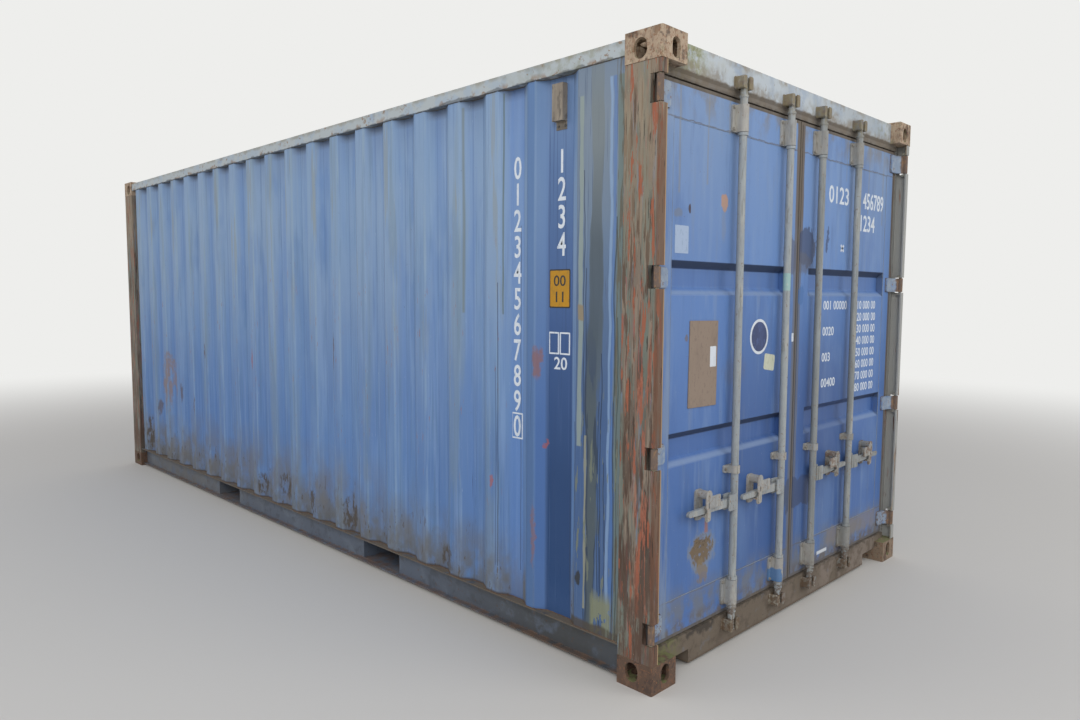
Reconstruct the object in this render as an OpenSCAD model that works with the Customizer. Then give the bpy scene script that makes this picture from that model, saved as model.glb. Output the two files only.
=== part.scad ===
// Twenty foot dry freight container, with its double doors and four locking bars.
// X runs along the length with the doors at +X, Y across, Z up.
// The origin is the middle of the footprint, level with the feet of the castings.
// A recess is a distance inwards from the outer face of the castings.
// Pieces of the left leaf lie at -Y, which is on the left when facing the doors.

/* [Envelope] */
// Length over the corner castings
length = 6058; // [4800:1:7200]
// Width over the corner castings
width = 2438; // [2300:1:2600]
// Height over the corner castings
height = 2591; // [2450:1:2900]

/* [Corner castings] */
// Length of a casting along the container
cast_len = 178; // [176:1:190]
// Width of a casting across the container
cast_wid = 162; // [158:1:176]
// Height of a casting
cast_high = 118; // [116:1:130]
// Thickness of the outer side and end walls of a casting
cast_wall = 15; // [12:0.5:20]
// Thickness of the walls that face the middle of the container
cast_inner_wall = 10; // [6:0.5:12]
// Thickness of the plate that a twist lock grips
cast_plate = 28.5; // [24:0.5:32]
// Radius of the upright outer edge of a casting
cast_edge_r = 8; // [3:0.5:12]
// Length of the twist lock slot
slot_len = 124.5; // [120:0.5:126]
// Width of the twist lock slot
slot_wid = 63.5; // [60:0.5:66]
// Distance of the slot's middle from the end face
slot_from_end = 102.5; // [100:0.5:104]
// Distance of the slot's middle from the side face
slot_from_side = 89.5; // [86:0.5:93]
// Height of the side and end holes of a casting
hole_high = 79.5; // [70:0.5:80]
// Width of the hole in the side face
side_hole_wid = 63.5; // [55:0.5:66]
// Width of the hole in the end face
end_hole_wid = 51; // [45:0.5:58]
// Height of the middle of those holes above the middle of the hollow
hole_lift = -5.5; // [-7:0.5:-3]

/* [Corner posts] */
// Distance that posts lie behind the faces of the castings
post_set = 2; // [1:0.5:4]
// Thickness of the post plates
post_wall = 6; // [5:0.5:7]
// Radius of the fold at the outer edge of a rear post
post_fold_r = 8; // [4:0.5:8]
// Thickness of the lip that closes the door end of a rear post
lip_thick = 8; // [6:0.5:9]
// Width of that lip
lip_wide = 40; // [34:1:44]
// Distance from the side face to the inner face of a rear post
post_in = 49; // [46:1:54]
// Recess of the closed box of a rear post, behind the hinge groove
post_box_set = 70; // [66:1:80]
// Depth of the folds along the free edges of a front post
front_post_fold = 54; // [52:1:60]

/* [Side walls] */
// Pitch of the upright corrugations
wall_pitch = 282; // [270:1:300]
// Width of an outer flat of the corrugation
outer_flat = 80; // [70:1:90]
// Length of a slope of the corrugation, along the wall
wall_slope = 66; // [55:1:70]
// Depth of the corrugation
wall_depth = 36; // [30:1:38]
// Recess of the outer flats
wall_set = 12; // [10:1:14]
// Thickness of the wall sheet
wall_sheet = 2; // [1.5:0.5:3]
// Width of the plain flat beside the post at the marked end
plain_flat = 251; // [220:1:280]
// Width of the sunk flat that carries the markings
mark_flat = 135; // [120:1:150]
// Length of the slopes beside the sunk flat
mark_slope = 60; // [50:1:70]
// Width of the short outer flat behind the sunk flat
short_flat = 42; // [30:1:60]

/* [Front wall] */
// Pitch of the corrugations of the front wall
front_pitch = 250; // [230:1:270]
// Width of an outer flat of the front wall
front_flat = 104; // [90:1:115]
// Length of a slope of the front wall
front_slope = 18; // [15:1:25]
// Depth of the corrugations of the front wall
front_depth = 45; // [35:1:48]
// Recess of the front wall
front_set = 15; // [10:1:20]

/* [Rails] */
// Outer size of the square tubes along the roof edges
tube = 60; // [54:1:66]
// Wall of those tubes
tube_wall = 3; // [2.5:0.5:5]
// Recess of those tubes
tube_set = 6; // [4:1:8]
// Height of the roof tubes' upper face below the top
tube_drop = 18; // [16:1:20]
// Clearance below the bottom rails
rail_lift = 17; // [12:1:20]
// Height of the upper face of the bottom side rails
rail_top = 158; // [150:1:162]
// Width of the upper flange of the bottom side rails
rail_flange = 48; // [46:1:52]
// Width of the lower flange of the bottom side rails
rail_foot = 30; // [24:1:40]
// Recess of the upper flange
rail_set = 6; // [4:1:8]
// Plate of the bottom rails
rail_wall = 4.5; // [3:0.5:6]

/* [Floor] */
// Height of the cross members
beam_high = 122; // [116:1:126]
// Width of the flanges of a cross member
beam_flange = 45; // [40:1:55]
// Height of the cross members above the foot of the rails
beam_lift = 1; // [1:0.5:2]
// Plate of the cross members
beam_wall = 4; // [3:0.5:6]
// Cross members between the two fork pockets
mid_beams = 5; // [3:1:6]
// Cross members between a fork pocket and an end
end_beams = 4; // [3:1:5]
// Thickness of the floor boards
board_thick = 28; // [24:1:30]
// Number of floor boards across the width
board_count = 2; // [1:1:3]
// Distance of the fork pockets from the middle of the length
pocket_x = 1040; // [1000:5:1100]
// Inner width of a fork pocket
pocket_wid = 365; // [355:1:375]
// Inner height of a fork pocket
pocket_high = 115; // [110:1:116]
// Height of the floor of a fork pocket
pocket_lift = 23; // [23:0.5:25]
// Width of the strap under each mouth of a fork pocket
strap_wid = 200; // [150:5:260]

/* [Roof] */
// Pitch of the troughs stamped into the roof
roof_pitch = 209; // [200:1:220]
// Width of a trough at roof level
trough_top = 118; // [105:1:125]
// Width of a trough at its floor
trough_floor = 68; // [60:1:80]
// Depth of a trough
trough_deep = 20; // [12:1:25]
// Thickness of the roof sheet
roof_sheet = 2; // [1.5:0.5:3]
// Lap of the roof sheet on the roof tubes
roof_lap = 30; // [20:1:40]
// Plain margin of the roof beside each roof tube
roof_margin = 45; // [35:1:70]
// Size of the corner plates along the roof
corner_plate_len = 250; // [200:5:300]
// Size of the corner plates across the roof
corner_plate_wid = 200; // [150:5:250]
// Thickness of the corner plates
corner_plate_thick = 3; // [2:0.5:5]

/* [Door header and sill] */
// Recess of the face of the header and of the sill
beam_face_set = 53; // [53:1:56]
// Recess of the back of the header and of the sill
beam_back_set = 165; // [150:1:175]
// Recess where the header's top turns level to carry the roof
header_ledge_set = 100; // [90:1:115]
// Height of the face of the header
header_face = 104; // [98:1:112]
// Height of the recessed lip under the header's face
header_lip = 36; // [28:1:40]
// Height of the slope from that lip to the face
header_slope = 14; // [8:1:18]
// Height of the underside of the header below the top
header_drop = 149; // [147:1:152]
// Plate of the header and of the sill
beam_plate = 4; // [3:0.5:6]
// Clearance below the sill
sill_lift = 12.5; // [10:0.5:16]
// Height of the upper face of the sill
sill_top = 150; // [146:1:154]
// Width of the notches beside the bottom castings
notch_wid = 167; // [140:1:180]
// Height of the upper edge of those notches
notch_top = 75; // [65:1:85]
// Depth of those notches
notch_deep = 70; // [55:1:85]

/* [Door leaves] */
// Recess of the outer face of the leaves
leaf_set = 62; // [62:0.5:64]
// Thickness of a leaf
leaf_thick = 50; // [44:1:56]
// Distance of the leaf's steel edge from the side face
leaf_edge = 87; // [80:1:92]
// Distance of the leaf's steel edge from the middle
leaf_mid = 19; // [16:0.5:24]
// Gap between leaf gaskets and the frame, and from the middle
seal_gap = 6; // [5:0.5:8]
// Distance from the gasket of one leaf to the middle
seal_mid = 7; // [6.5:0.5:9]
// Distance from the gasket's front lip to the middle
seal_nose = 4; // [4:0.5:6]
// Thickness of that front lip
nose_thick = 8; // [5:0.5:9]
// Height of the leaf's steel edge above the sill
leaf_lift = 22; // [18:1:28]
// Distance of the leaf's steel edge below the header
leaf_drop = 22; // [18:1:28]
// Width of the upright beside the hinges
hinge_stile = 82; // [76:1:90]
// Width of the upright beside the middle
mid_stile = 96; // [80:1:110]
// Height of the upper rail of a leaf
top_rail = 132; // [120:1:140]
// Height of the lower rail of a leaf
low_rail = 148; // [130:1:160]
// Plate of the leaf frame
leaf_plate = 4; // [3:0.5:6]
// Thickness of the leaf's panel
panel_sheet = 2.5; // [2:0.5:4]
// Recess of the panel behind the leaf frame
panel_set = 1.5; // [1:0.5:3]
// Height of the middle of the upper groove of the panels
groove_high = 1661; // [1550:1:1750]
// Height of the middle of the lower groove of the panels
groove_low = 955; // [850:1:1050]
// Height of a groove at the panel's face
groove_open = 139; // [110:1:160]
// Slope height of a groove
groove_slope = 30; // [20:1:40]
// Depth of a groove
groove_deep = 36; // [25:1:40]
// Recess of the gaskets behind the leaf's outer face
seal_set = 3; // [3:0.5:8]
// Depth of the gaskets
seal_deep = 42; // [36:1:44]

/* [Hinges] */
// Recess of the hinge pins from the door end
pin_set = 19; // [18.5:0.5:20]
// Distance of the hinge pins from the side face
pin_in = 18; // [17:0.5:19]
// Radius of a hinge pin
pin_r = 8; // [6:0.5:8]
// Clearance round the hinge pins
pin_fit = 0.5; // [0.3:0.1:1]
// Radius of a hinge knuckle
knuckle_r = 14; // [13:0.5:14]
// Thickness of a hinge blade
blade_thick = 11; // [8:0.5:11]
// Radius of a blade's corners on its leaf
blade_corner = 16; // [8:1:22]
// Part of the way from the leaf's edge to the pin at which a blade bends
blade_bend = 0.4; // [0.3:0.05:0.5]
// Length of a blade on its leaf
blade_lap = 45; // [30:1:70]
// Height of the uppermost blade
top_blade_high = 100; // [80:1:105]
// Height of the other blades
blade_high = 80; // [60:1:100]
// Distance of the uppermost hinge from the top of the leaf
top_hinge_drop = 55; // [55:1:80]
// Distance of the lowest hinge from the foot of the leaf
low_hinge_lift = 73; // [60:1:100]
// Hinges on each leaf
hinge_count = 4; // [3:1:5]
// Clearance above and below a blade in its post
blade_gap = 5; // [5:0.5:8]
// Thickness of a hinge lug
lug_thick = 14; // [10:1:18]
// Depth of a hinge window behind the pin
window_deep = 35; // [32:1:40]

/* [Locking bars] */
// Recess of the axes of the locking bars
bar_set = 30; // [30:0.5:30.5]
// Distance of the outer bars from the middle
outer_bar_y = 590; // [560:1:620]
// Distance of the inner bars from the middle
inner_bar_y = 166; // [150:1:180]
// Radius of a bar
bar_r = 17; // [14:0.5:17]
// Wall of a bar
bar_wall = 3; // [2:0.5:4]
// Half the length of a cam across the bar
cam_reach = 18; // [16.5:0.5:18]
// Thickness of a cam
cam_thick = 18; // [14:0.5:19]
// Height of the collar between a bar and its cam
collar_high = 9; // [6:1:12]
// Radius of that collar
collar_r = 20; // [18:0.5:20]
// Radius of the rings that hold a bar up in its brackets
ring_r = 22; // [20:0.5:23]
// Height of those rings
ring_high = 13; // [8:1:15]
// Gap between a ring and its bracket
ring_gap = 2; // [1.5:0.5:3]
// Height of the upper end of a bar below the top
bar_top_drop = 66; // [60:1:75]
// Height of the lower end of a bar
bar_low = 78; // [70:1:90]
// Height of the upper keepers
keeper_high = 54; // [50:1:64]
// Height of the lower keepers
low_keeper_high = 54; // [45:1:60]
// Inner half width of a keeper
keeper_in = 28; // [24:1:32]
// Plate of a keeper's sides
keeper_wall = 11; // [6:1:12]
// Half width of a keeper's foot plate
keeper_foot = 47; // [42:1:52]
// Radius of a keeper's corners
keeper_corner = 9; // [5:1:12]
// Half width of the gap that a turned cam comes out through
keeper_mouth = 12; // [11:0.5:13]
// Clearance between a turning cam and the keeper's lips
cam_gap = 1.2; // [0.8:0.1:2]
// Thickness of a keeper's lips
keeper_lip = 6; // [4:0.5:8]
// Thickness of a keeper's back plate
keeper_back = 3; // [2:0.5:4]

/* [Bar brackets] */
// Height of the upper and lower brackets
bracket_high = 116; // [100:1:132]
// Distance of the upper brackets from the top of the leaf
bracket_drop = 12; // [5:1:20]
// Distance of the lower brackets from the foot of the leaf
bracket_lift = 25; // [17:1:30]
// Half width of a bracket's foot plate
bracket_half = 48; // [40:1:55]
// Thickness of a bracket's foot plate
bracket_plate = 8; // [5:1:10]
// Radius of a foot plate's corners
bracket_corner = 9; // [4:1:12]
// Clearance between a bar and its brackets
bar_fit = 0.8; // [0.6:0.1:1.5]
// Wall of a bracket round the bar
bracket_wall = 5; // [4:0.5:6]
// Height of the middle guides
guide_z = 818; // [780:1:860]
// Height of a middle guide
guide_high = 34; // [30:1:50]
// Half width of a middle guide
guide_half = 47; // [36:1:52]

/* [Handles] */
// Height of the handles
handle_z = 678; // [640:1:700]
// Distance from the bar's axis to the handle's end
handle_reach = 367; // [330:1:390]
// Height of the handle's bar
handle_high = 38; // [32:1:40]
// Height of the handle at its free end
handle_tip = 23; // [20:1:30]
// Thickness of the handle
handle_thick = 14; // [10:1:14]
// Recess of the handle's front
handle_set = 18; // [18:0.5:19]
// Height of the hub that holds the handle on its bar
hub_high = 72; // [60:1:90]
// Distance from the bar's axis to the near side of the hub
hub_from = 8; // [5:0.5:12]
// Distance of the handle's pivot from the bar's axis
pivot_out = 52; // [50:0.5:60]
// Radius of the handle's pivot pin
pivot_r = 6; // [5:0.5:7]
// Clearance round the handle's pivot pin
pivot_fit = 0.5; // [0.3:0.1:0.8]
// Radius of the handle's eye
eye_r = 16; // [14:0.5:16]
// Thickness of the cheeks that hold the eye
cheek_thick = 6; // [4:0.5:6]
// Reach of a cheek beyond the pivot
cheek_half = 21; // [20:0.5:26]
// Lap of a cheek on the hub's block
cheek_lap = 4; // [3:0.5:6]
// Height of the pin's heads beyond the cheeks
pin_head = 2; // [1:0.5:3]
// Radius of a cheek's corners
cheek_corner = 5; // [3:0.5:8]
// Clearance between the eye and the cheeks
cheek_gap = 5; // [4:0.5:6]

/* [Handle retainers] */
// Distance from the bar's axis to the middle of a retainer
retainer_out = 238; // [215:1:250]
// Half width of a retainer's back plate
retainer_half = 27; // [22:1:32]
// Thickness of a retainer's back plate
retainer_plate = 6; // [4:0.5:8]
// Gap between a handle and the shelf under it
shelf_gap = 5; // [5:0.5:7]
// Thickness of that shelf
shelf_thick = 8; // [6:1:10]
// Half width of that shelf
shelf_half = 20; // [15:1:25]
// Height of the lip along the front of the shelf
shelf_lip = 12; // [8:1:13]
// Reach of the tab under the shelf
tab_reach = 30; // [24:1:36]
// Radius of that tab's corners
tab_corner = 15; // [10:1:18]
// Radius of the eye in that tab
tab_eye = 6; // [4:0.5:8]
// Height of the ear's underside above the handle's middle
ear_lift = 46; // [45:1:52]
// Height of the ear
ear_high = 38; // [32:1:42]
// Half width of the ear
ear_half = 16; // [12:1:18]
// Radius of the catch pin
catch_pin_r = 5; // [4:0.5:6]
// Clearance round the catch pin
catch_fit = 0.5; // [0.3:0.1:0.8]
// Recess of the catch's front
catch_set = 3.5; // [3:0.5:4]
// Thickness of a catch
catch_thick = 5; // [4:0.5:5]
// Half width of a catch
catch_half = 22; // [19:1:24]
// Gap between a catch and the ear behind it
catch_gap = 0.5; // [0.3:0.1:0.8]
// Reach of a catch below the handle's middle
catch_reach = 44; // [38:1:50]
// Half width of a catch at its foot
catch_foot = 13; // [9:1:16]
// Reach of a catch's flap towards the bar
flap_reach = 88; // [70:1:100]
// Height of that flap
flap_high = 52; // [40:1:60]
// Radius of the corners of a catch
catch_corner = 7; // [3:1:9]
// Half the width of the slot in a catch
catch_slot = 5; // [4:0.5:7]

/* [Vents] */
// Width of a vent
vent_wid = 62; // [50:1:80]
// Height of a vent
vent_high = 155; // [130:1:170]
// Depth of a vent
vent_deep = 30; // [22:1:30]
// Sheet of a vent
vent_sheet = 2; // [1.5:0.5:3]
// Height of the foot flange of a vent
vent_foot = 34; // [25:1:40]
// Distance of a vent below the roof tube
vent_drop = 33; // [20:1:60]
// Width of the slots in the underside of a vent
vent_slot = 8; // [5:1:10]
// Length of those slots
vent_slot_deep = 15; // [8:1:18]
// Number of those slots
vent_slots = 3; // [2:1:4]

/* [Hidden] */
$fn = 48;

// Overshoot of cutting shapes
cut = 1;
half_len = length / 2;
half_wid = width / 2;

// Heights
post_low = cast_high;
post_top = height - cast_high;
tube_top = height - tube_drop;
tube_low = tube_top - tube;
floor_low = rail_lift + beam_lift + beam_high;
header_low = height - header_drop;
header_top = header_low + header_lip + header_face;
leaf_low = sill_top + leaf_lift;
leaf_top = header_low - leaf_drop;
hinge_low_z = leaf_low + low_hinge_lift;
hinge_top_z = leaf_top - top_hinge_drop;
hinge_step = (hinge_top_z - hinge_low_z) / (hinge_count - 1);
hinge_zs = [for (i = [0 : hinge_count - 1]) hinge_low_z + i * hinge_step];

// Places across the door end
leaf_x = half_len - leaf_set;
panel_x = leaf_x - panel_set;
leaf_out_y = half_wid - leaf_edge;
seal_out_y = half_wid - post_in - seal_gap;
pin_x = half_len - pin_set;
pin_y = half_wid - pin_in;
bar_x = half_len - bar_set;
face_x = half_len - beam_face_set;
bar_top = height - bar_top_drop;
handle_mid_x = half_len - handle_set - handle_thick / 2;
keeper_x = bar_x + sqrt(pow(cam_reach + cam_gap, 2) - pow(keeper_mouth, 2));
ear_low = handle_z + ear_lift;
catch_pin_z = ear_low + ear_high / 2;
catch_x = half_len - catch_set - catch_thick / 2;

// Colours
blue = [0.36, 0.47, 0.66];
deep_blue = [0.27, 0.42, 0.68];
frame_grey = [0.45, 0.42, 0.38];
rust = [0.45, 0.27, 0.18];
pale = [0.66, 0.65, 0.60];
dark = [0.16, 0.14, 0.13];
wood = [0.55, 0.42, 0.28];

// Repeats
module both_sides() {
    children();
    mirror([0, 1, 0]) children();
}

module both_ends() {
    children();
    mirror([1, 0, 0]) children();
}

module four_corners() {
    both_sides() both_ends() children();
}

// Everything of the right leaf is drawn at +Y; the left leaf is its mirror image
module leaf_side(left) {
    if (left)
        mirror([0, 1, 0]) children();
    else
        children();
}

// What a corner at +X +Y loses when it gets this radius about the origin
module outside_corner(r) {
    difference() {
        square(r + cut);
        circle(r);
    }
}

// Plate across the door end: half its width, its height from z = 0, its thickness from x = 0
module round_plate(half, high, thick, r) {
    rotate([90, 0, 90]) linear_extrude(thick) rounded(half, high, r);
}

module rounded(half, high, r) {
    c = min(r, half, high / 2);
    union() {
        if (half > c) translate([-half + c, 0]) square([2 * (half - c), high]);
        if (high > 2 * c) translate([-half, c]) square([2 * half, high - 2 * c]);
        for (s = half > c ? [-1, 1] : [0], z = high > 2 * c ? [c, high - c] : [c])
            translate([s * (half - c), z]) circle(c);
    }
}

// Slot with round ends along X, standing on Z = 0
module slot(long, wide, deep) {
    straight = long - wide;
    union() {
        translate([-straight / 2, -wide / 2, 0]) cube([straight, wide, deep]);
        for (s = [-1, 1]) translate([s * straight / 2, 0, 0]) cylinder(h = deep, d = wide);
    }
}

// Casting of the corner at +X +Y, standing on its plate
module casting() {
    hole_z = (cast_high + cast_plate) / 2 + hole_lift;
    difference() {
        linear_extrude(cast_high) union() {
            translate([half_len - cast_len, half_wid - cast_wid])
                square([cast_len - cast_edge_r, cast_wid]);
            translate([half_len - cast_len, half_wid - cast_wid])
                square([cast_len, cast_wid - cast_edge_r]);
            translate([half_len - cast_edge_r, half_wid - cast_edge_r]) circle(cast_edge_r);
        }
        translate([half_len - cast_len + cast_inner_wall, half_wid - cast_wid + cast_inner_wall, cast_plate])
            cube([
                cast_len - cast_wall - cast_inner_wall,
                cast_wid - cast_wall - cast_inner_wall,
                cast_high - cast_plate - cast_wall]);
        translate([half_len - slot_from_end, half_wid - slot_from_side, -cut])
            slot(slot_len, slot_wid, cast_plate + 2 * cut);
        translate([half_len - slot_from_end, half_wid + cut, hole_z])
            rotate([90, 90, 0]) slot(hole_high, side_hole_wid, cast_wall + 2 * cut);
        translate([half_len - cast_wall - cut, half_wid - slot_from_side, hole_z])
            rotate([0, 90, 0]) slot(hole_high, end_hole_wid, cast_wall + 2 * cut);
    }
}

module bottom_corner_castings() {
    color(rust) four_corners() casting();
}

module top_corner_castings() {
    color(rust) translate([0, 0, height]) mirror([0, 0, 1]) four_corners() casting();
}

// Plan of the rear post at +X +Y: a closed box with an open hinge groove before it
module rear_post_plan() {
    difference() {
        union() {
            translate([half_len - cast_len, half_wid - post_set - post_wall])
                square([cast_len - post_set, post_wall]);
            translate([half_len - post_set - lip_thick, half_wid - post_set - lip_wide])
                square([lip_thick, lip_wide]);
            translate([half_len - cast_len, half_wid - post_in])
                square([cast_len - post_box_set, post_in - post_set]);
        }
        translate([half_len - cast_len + post_wall, half_wid - post_in + post_wall])
            square([cast_len - post_box_set - 2 * post_wall, post_in - post_set - 2 * post_wall]);
        translate([half_len - post_set - post_fold_r, half_wid - post_set - post_fold_r])
            outside_corner(post_fold_r);
    }
}

function blade_height(i) = i == hinge_count - 1 ? top_blade_high : blade_high;

// Window in the post for the hinge knuckle at number i from below
module hinge_window(i) {
    high = blade_height(i) + 2 * blade_gap;
    back = pin_set + window_deep;
    translate([half_len - back, half_wid - post_set - lip_wide - cut, hinge_zs[i] - high / 2])
        cube([back + cut, lip_wide + post_set + 2 * cut, high]);
}

module rear_corner_posts() {
    color(rust) both_sides() difference() {
        translate([0, 0, post_low]) linear_extrude(post_top - post_low) rear_post_plan();
        for (i = [0 : hinge_count - 1]) hinge_window(i);
    }
}

// Plan of the front post at -X +Y: one folded plate
module front_post_plan() {
    x0 = -half_len + post_set;
    y1 = half_wid - post_set;
    union() {
        translate([x0, y1 - post_wall]) square([cast_len - post_set, post_wall]);
        translate([x0, half_wid - cast_wid]) square([post_wall, cast_wid - post_set]);
        translate([-half_len + cast_len - post_wall, half_wid - front_post_fold])
            square([post_wall, front_post_fold - post_set]);
        translate([x0, half_wid - cast_wid]) square([front_set + front_depth + wall_sheet - post_set, post_wall]);
    }
}

module front_corner_posts() {
    color(frame_grey) both_sides()
        translate([0, 0, post_low]) linear_extrude(post_top - post_low) front_post_plan();
}

// Upright section of the header: recess along X, height along Y of the drawing
module header_section() {
    lip_set = leaf_set;
    outer = [
        [half_len - beam_face_set, header_low + header_lip],
        [half_len - beam_face_set, header_top],
        [half_len - header_ledge_set, tube_top],
        [half_len - beam_back_set, tube_top],
        [half_len - beam_back_set, header_low],
        [half_len - lip_set, header_low],
        [half_len - lip_set, header_low + header_lip - header_slope]];
    inner = [
        [half_len - beam_face_set - beam_plate, header_low + header_lip + beam_plate],
        [half_len - beam_face_set - beam_plate, header_top - beam_plate],
        [half_len - header_ledge_set, tube_top - beam_plate],
        [half_len - beam_back_set + beam_plate, tube_top - beam_plate],
        [half_len - beam_back_set + beam_plate, header_low + beam_plate],
        [half_len - lip_set - beam_plate, header_low + beam_plate],
        [half_len - lip_set - beam_plate, header_low + header_lip - header_slope + beam_plate]];
    difference() {
        polygon(outer);
        polygon(inner);
    }
}

// Stretches a section drawn as recess and height along the width
module across(half_span) {
    translate([0, half_span, 0]) rotate([90, 0, 0]) linear_extrude(2 * half_span) children();
}

module door_header() {
    color(pale) union() {
        across(half_wid - cast_wid) header_section();
        intersection() {
            across(half_wid - post_in) header_section();
            translate([0, -half_wid, 0]) cube([half_len, width, post_top]);
        }
    }
}

module sill_section() {
    x1 = half_len - beam_face_set;
    x0 = half_len - beam_back_set;
    union() {
        translate([x1 - beam_plate, sill_lift]) square([beam_plate, sill_top - sill_lift]);
        translate([x0, sill_top - beam_plate]) square([x1 - x0, beam_plate]);
        translate([x0, sill_lift]) square([x1 - x0, beam_plate]);
        translate([x0, sill_lift]) square([beam_plate, sill_top - sill_lift]);
    }
}

// Notch beside the casting at +Y, with the plates that line it
module notch_lining() {
    y1 = half_wid - cast_wid;
    x1 = half_len - beam_face_set;
    translate([x1 - notch_deep - beam_plate, y1 - notch_wid - beam_plate, sill_lift])
        cube([beam_plate, notch_wid + beam_plate, notch_top - sill_lift]);
    translate([x1 - notch_deep, y1 - notch_wid - beam_plate, sill_lift])
        cube([notch_deep, beam_plate, notch_top - sill_lift + beam_plate]);
    translate([x1 - notch_deep - beam_plate, y1 - notch_wid - beam_plate, notch_top])
        cube([notch_deep + beam_plate, notch_wid + beam_plate, beam_plate]);
}

module door_sill() {
    y1 = half_wid - cast_wid;
    x1 = half_len - beam_face_set;
    color(frame_grey) union() {
        difference() {
            across(y1) sill_section();
            both_sides() translate([x1 - notch_deep, y1 - notch_wid, sill_lift - cut])
                cube([notch_deep + cut, notch_wid + cut, notch_top - sill_lift + cut]);
        }
        both_sides() notch_lining();
        intersection() {
            across(half_wid - post_in) sill_section();
            translate([0, -half_wid, post_low]) cube([half_len, width, sill_top]);
        }
    }
}

module square_tube_section() {
    difference() {
        square(tube);
        translate([tube_wall, tube_wall]) square(tube - 2 * tube_wall);
    }
}

module front_top_rail() {
    color(frame_grey) translate([-half_len + tube_set, 0, 0])
        across(half_wid - cast_wid) translate([0, tube_low]) square_tube_section();
}

// Channel along the foot of the front wall, its flanges towards the floor
module front_bottom_rail() {
    deep = front_set + front_depth + wall_sheet - tube_set;
    color(frame_grey) translate([-half_len + tube_set, 0, 0]) across(half_wid - cast_wid) union() {
        translate([0, rail_lift]) square([rail_wall, rail_top - rail_lift]);
        translate([0, rail_top - rail_wall]) square([deep, rail_wall]);
        translate([0, rail_lift]) square([deep, rail_wall]);
    }
}

// Stretches a section drawn in width and height between the castings
module along() {
    span = length - 2 * cast_len;
    translate([-span / 2, 0, 0]) rotate([90, 0, 90]) linear_extrude(span) children();
}

module top_side_rails() {
    color(blue) both_sides() along()
        translate([half_wid - tube_set - tube, tube_low]) square_tube_section();
}

module bottom_side_rails() {
    web_y = half_wid - rail_set - rail_flange;
    color(frame_grey) both_sides() difference() {
        along() union() {
            translate([web_y - rail_wall, rail_lift]) square([rail_wall, rail_top - rail_lift]);
            translate([web_y - rail_wall, rail_top - rail_wall]) square([rail_flange + rail_wall, rail_wall]);
            translate([web_y - rail_wall, rail_lift]) square([rail_foot + rail_wall, rail_wall]);
        }
        for (s = [-1, 1])
            translate([s * pocket_x - pocket_wid / 2, web_y - rail_wall - cut, pocket_lift])
                cube([pocket_wid, rail_flange + rail_wall + 2 * cut, pocket_high]);
    }
}

// Channel across the floor, its web at X = 0 and its flanges towards +X
module cross_beam() {
    span = width - 2 * (rail_set + rail_flange + rail_wall);
    translate([0, -span / 2, rail_lift + beam_lift]) union() {
        cube([beam_wall, span, beam_high]);
        cube([beam_flange, span, beam_wall]);
        translate([0, 0, beam_high - beam_wall]) cube([beam_flange, span, beam_wall]);
    }
}

module cross_members() {
    mid_span = pocket_x - pocket_wid / 2 - beam_flange;
    end_from = pocket_x + pocket_wid / 2 + beam_flange;
    end_to = half_len - beam_back_set;
    mid_step = 2 * mid_span / (mid_beams + 1);
    end_step = (end_to - end_from) / (end_beams + 1);
    color(frame_grey) union() {
        for (i = [1 : mid_beams])
            translate([-mid_span + i * mid_step - beam_flange / 2, 0, 0]) cross_beam();
        both_ends() for (i = [1 : end_beams])
            translate([end_from + i * end_step - beam_flange / 2, 0, 0]) cross_beam();
    }
}

// Tunnel across the floor at X = 0: two channels, a roof and a strap under each mouth
module fork_pocket() {
    span = width - 2 * (rail_set + rail_flange + rail_wall);
    both_ends() translate([pocket_wid / 2, 0, 0]) cross_beam();
    roof_low = pocket_lift + pocket_high;
    translate([-pocket_wid / 2, -span / 2, roof_low])
        cube([pocket_wid, span, floor_low - roof_low]);
    both_sides() translate([-pocket_wid / 2, span / 2 - strap_wid, rail_lift + beam_lift])
        cube([pocket_wid, strap_wid, pocket_lift - rail_lift - beam_lift]);
}

module fork_pockets() {
    color(frame_grey) for (s = [-1, 1]) translate([s * pocket_x, 0, 0]) fork_pocket();
}

module floor_boards() {
    gap = 2;
    edge = rail_set + rail_flange + rail_wall + gap;
    board_wid = (width - 2 * edge - (board_count - 1) * gap) / board_count;
    x0 = -half_len + front_set + front_depth + wall_sheet + gap;
    x1 = half_len - beam_back_set - gap;
    color(wood) for (i = [0 : board_count - 1])
        translate([x0, -half_wid + edge + i * (board_wid + gap), floor_low])
            cube([x1 - x0, board_wid, board_thick]);
}

// Outline of the left wall in plan, from the rear casting to the front one
wall_x1 = half_len - cast_len;
wall_x0 = -half_len + cast_len;
wave_x = wall_x1 - plain_flat - 2 * mark_slope - mark_flat - short_flat;
inner_flat = wall_pitch - outer_flat - 2 * wall_slope;
waves = floor((wave_x - wall_x0 - wall_slope) / wall_pitch);
wall_line = concat(
    [[wall_x1, 0], [wall_x1 - plain_flat, 0],
     [wall_x1 - plain_flat - mark_slope, wall_depth],
     [wall_x1 - plain_flat - mark_slope - mark_flat, wall_depth],
     [wall_x1 - plain_flat - 2 * mark_slope - mark_flat, 0]],
    [for (k = [0 : waves - 1], p = [
        [0, 0],
        [wall_slope, wall_depth],
        [wall_slope + inner_flat, wall_depth],
        [2 * wall_slope + inner_flat, 0]])
        [wave_x - k * wall_pitch - p[0], p[1]]],
    [[wave_x - waves * wall_pitch, 0],
     [wave_x - waves * wall_pitch - wall_slope, wall_depth],
     [wall_x0, wall_depth]]);

// Sheet that follows a line of points, its thickness laid on along Y
module sheet_along(line, thick) {
    n = len(line);
    polygon(concat(line, [for (i = [0 : n - 1]) [line[n - 1 - i][0], line[n - 1 - i][1] + thick]]));
}

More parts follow.
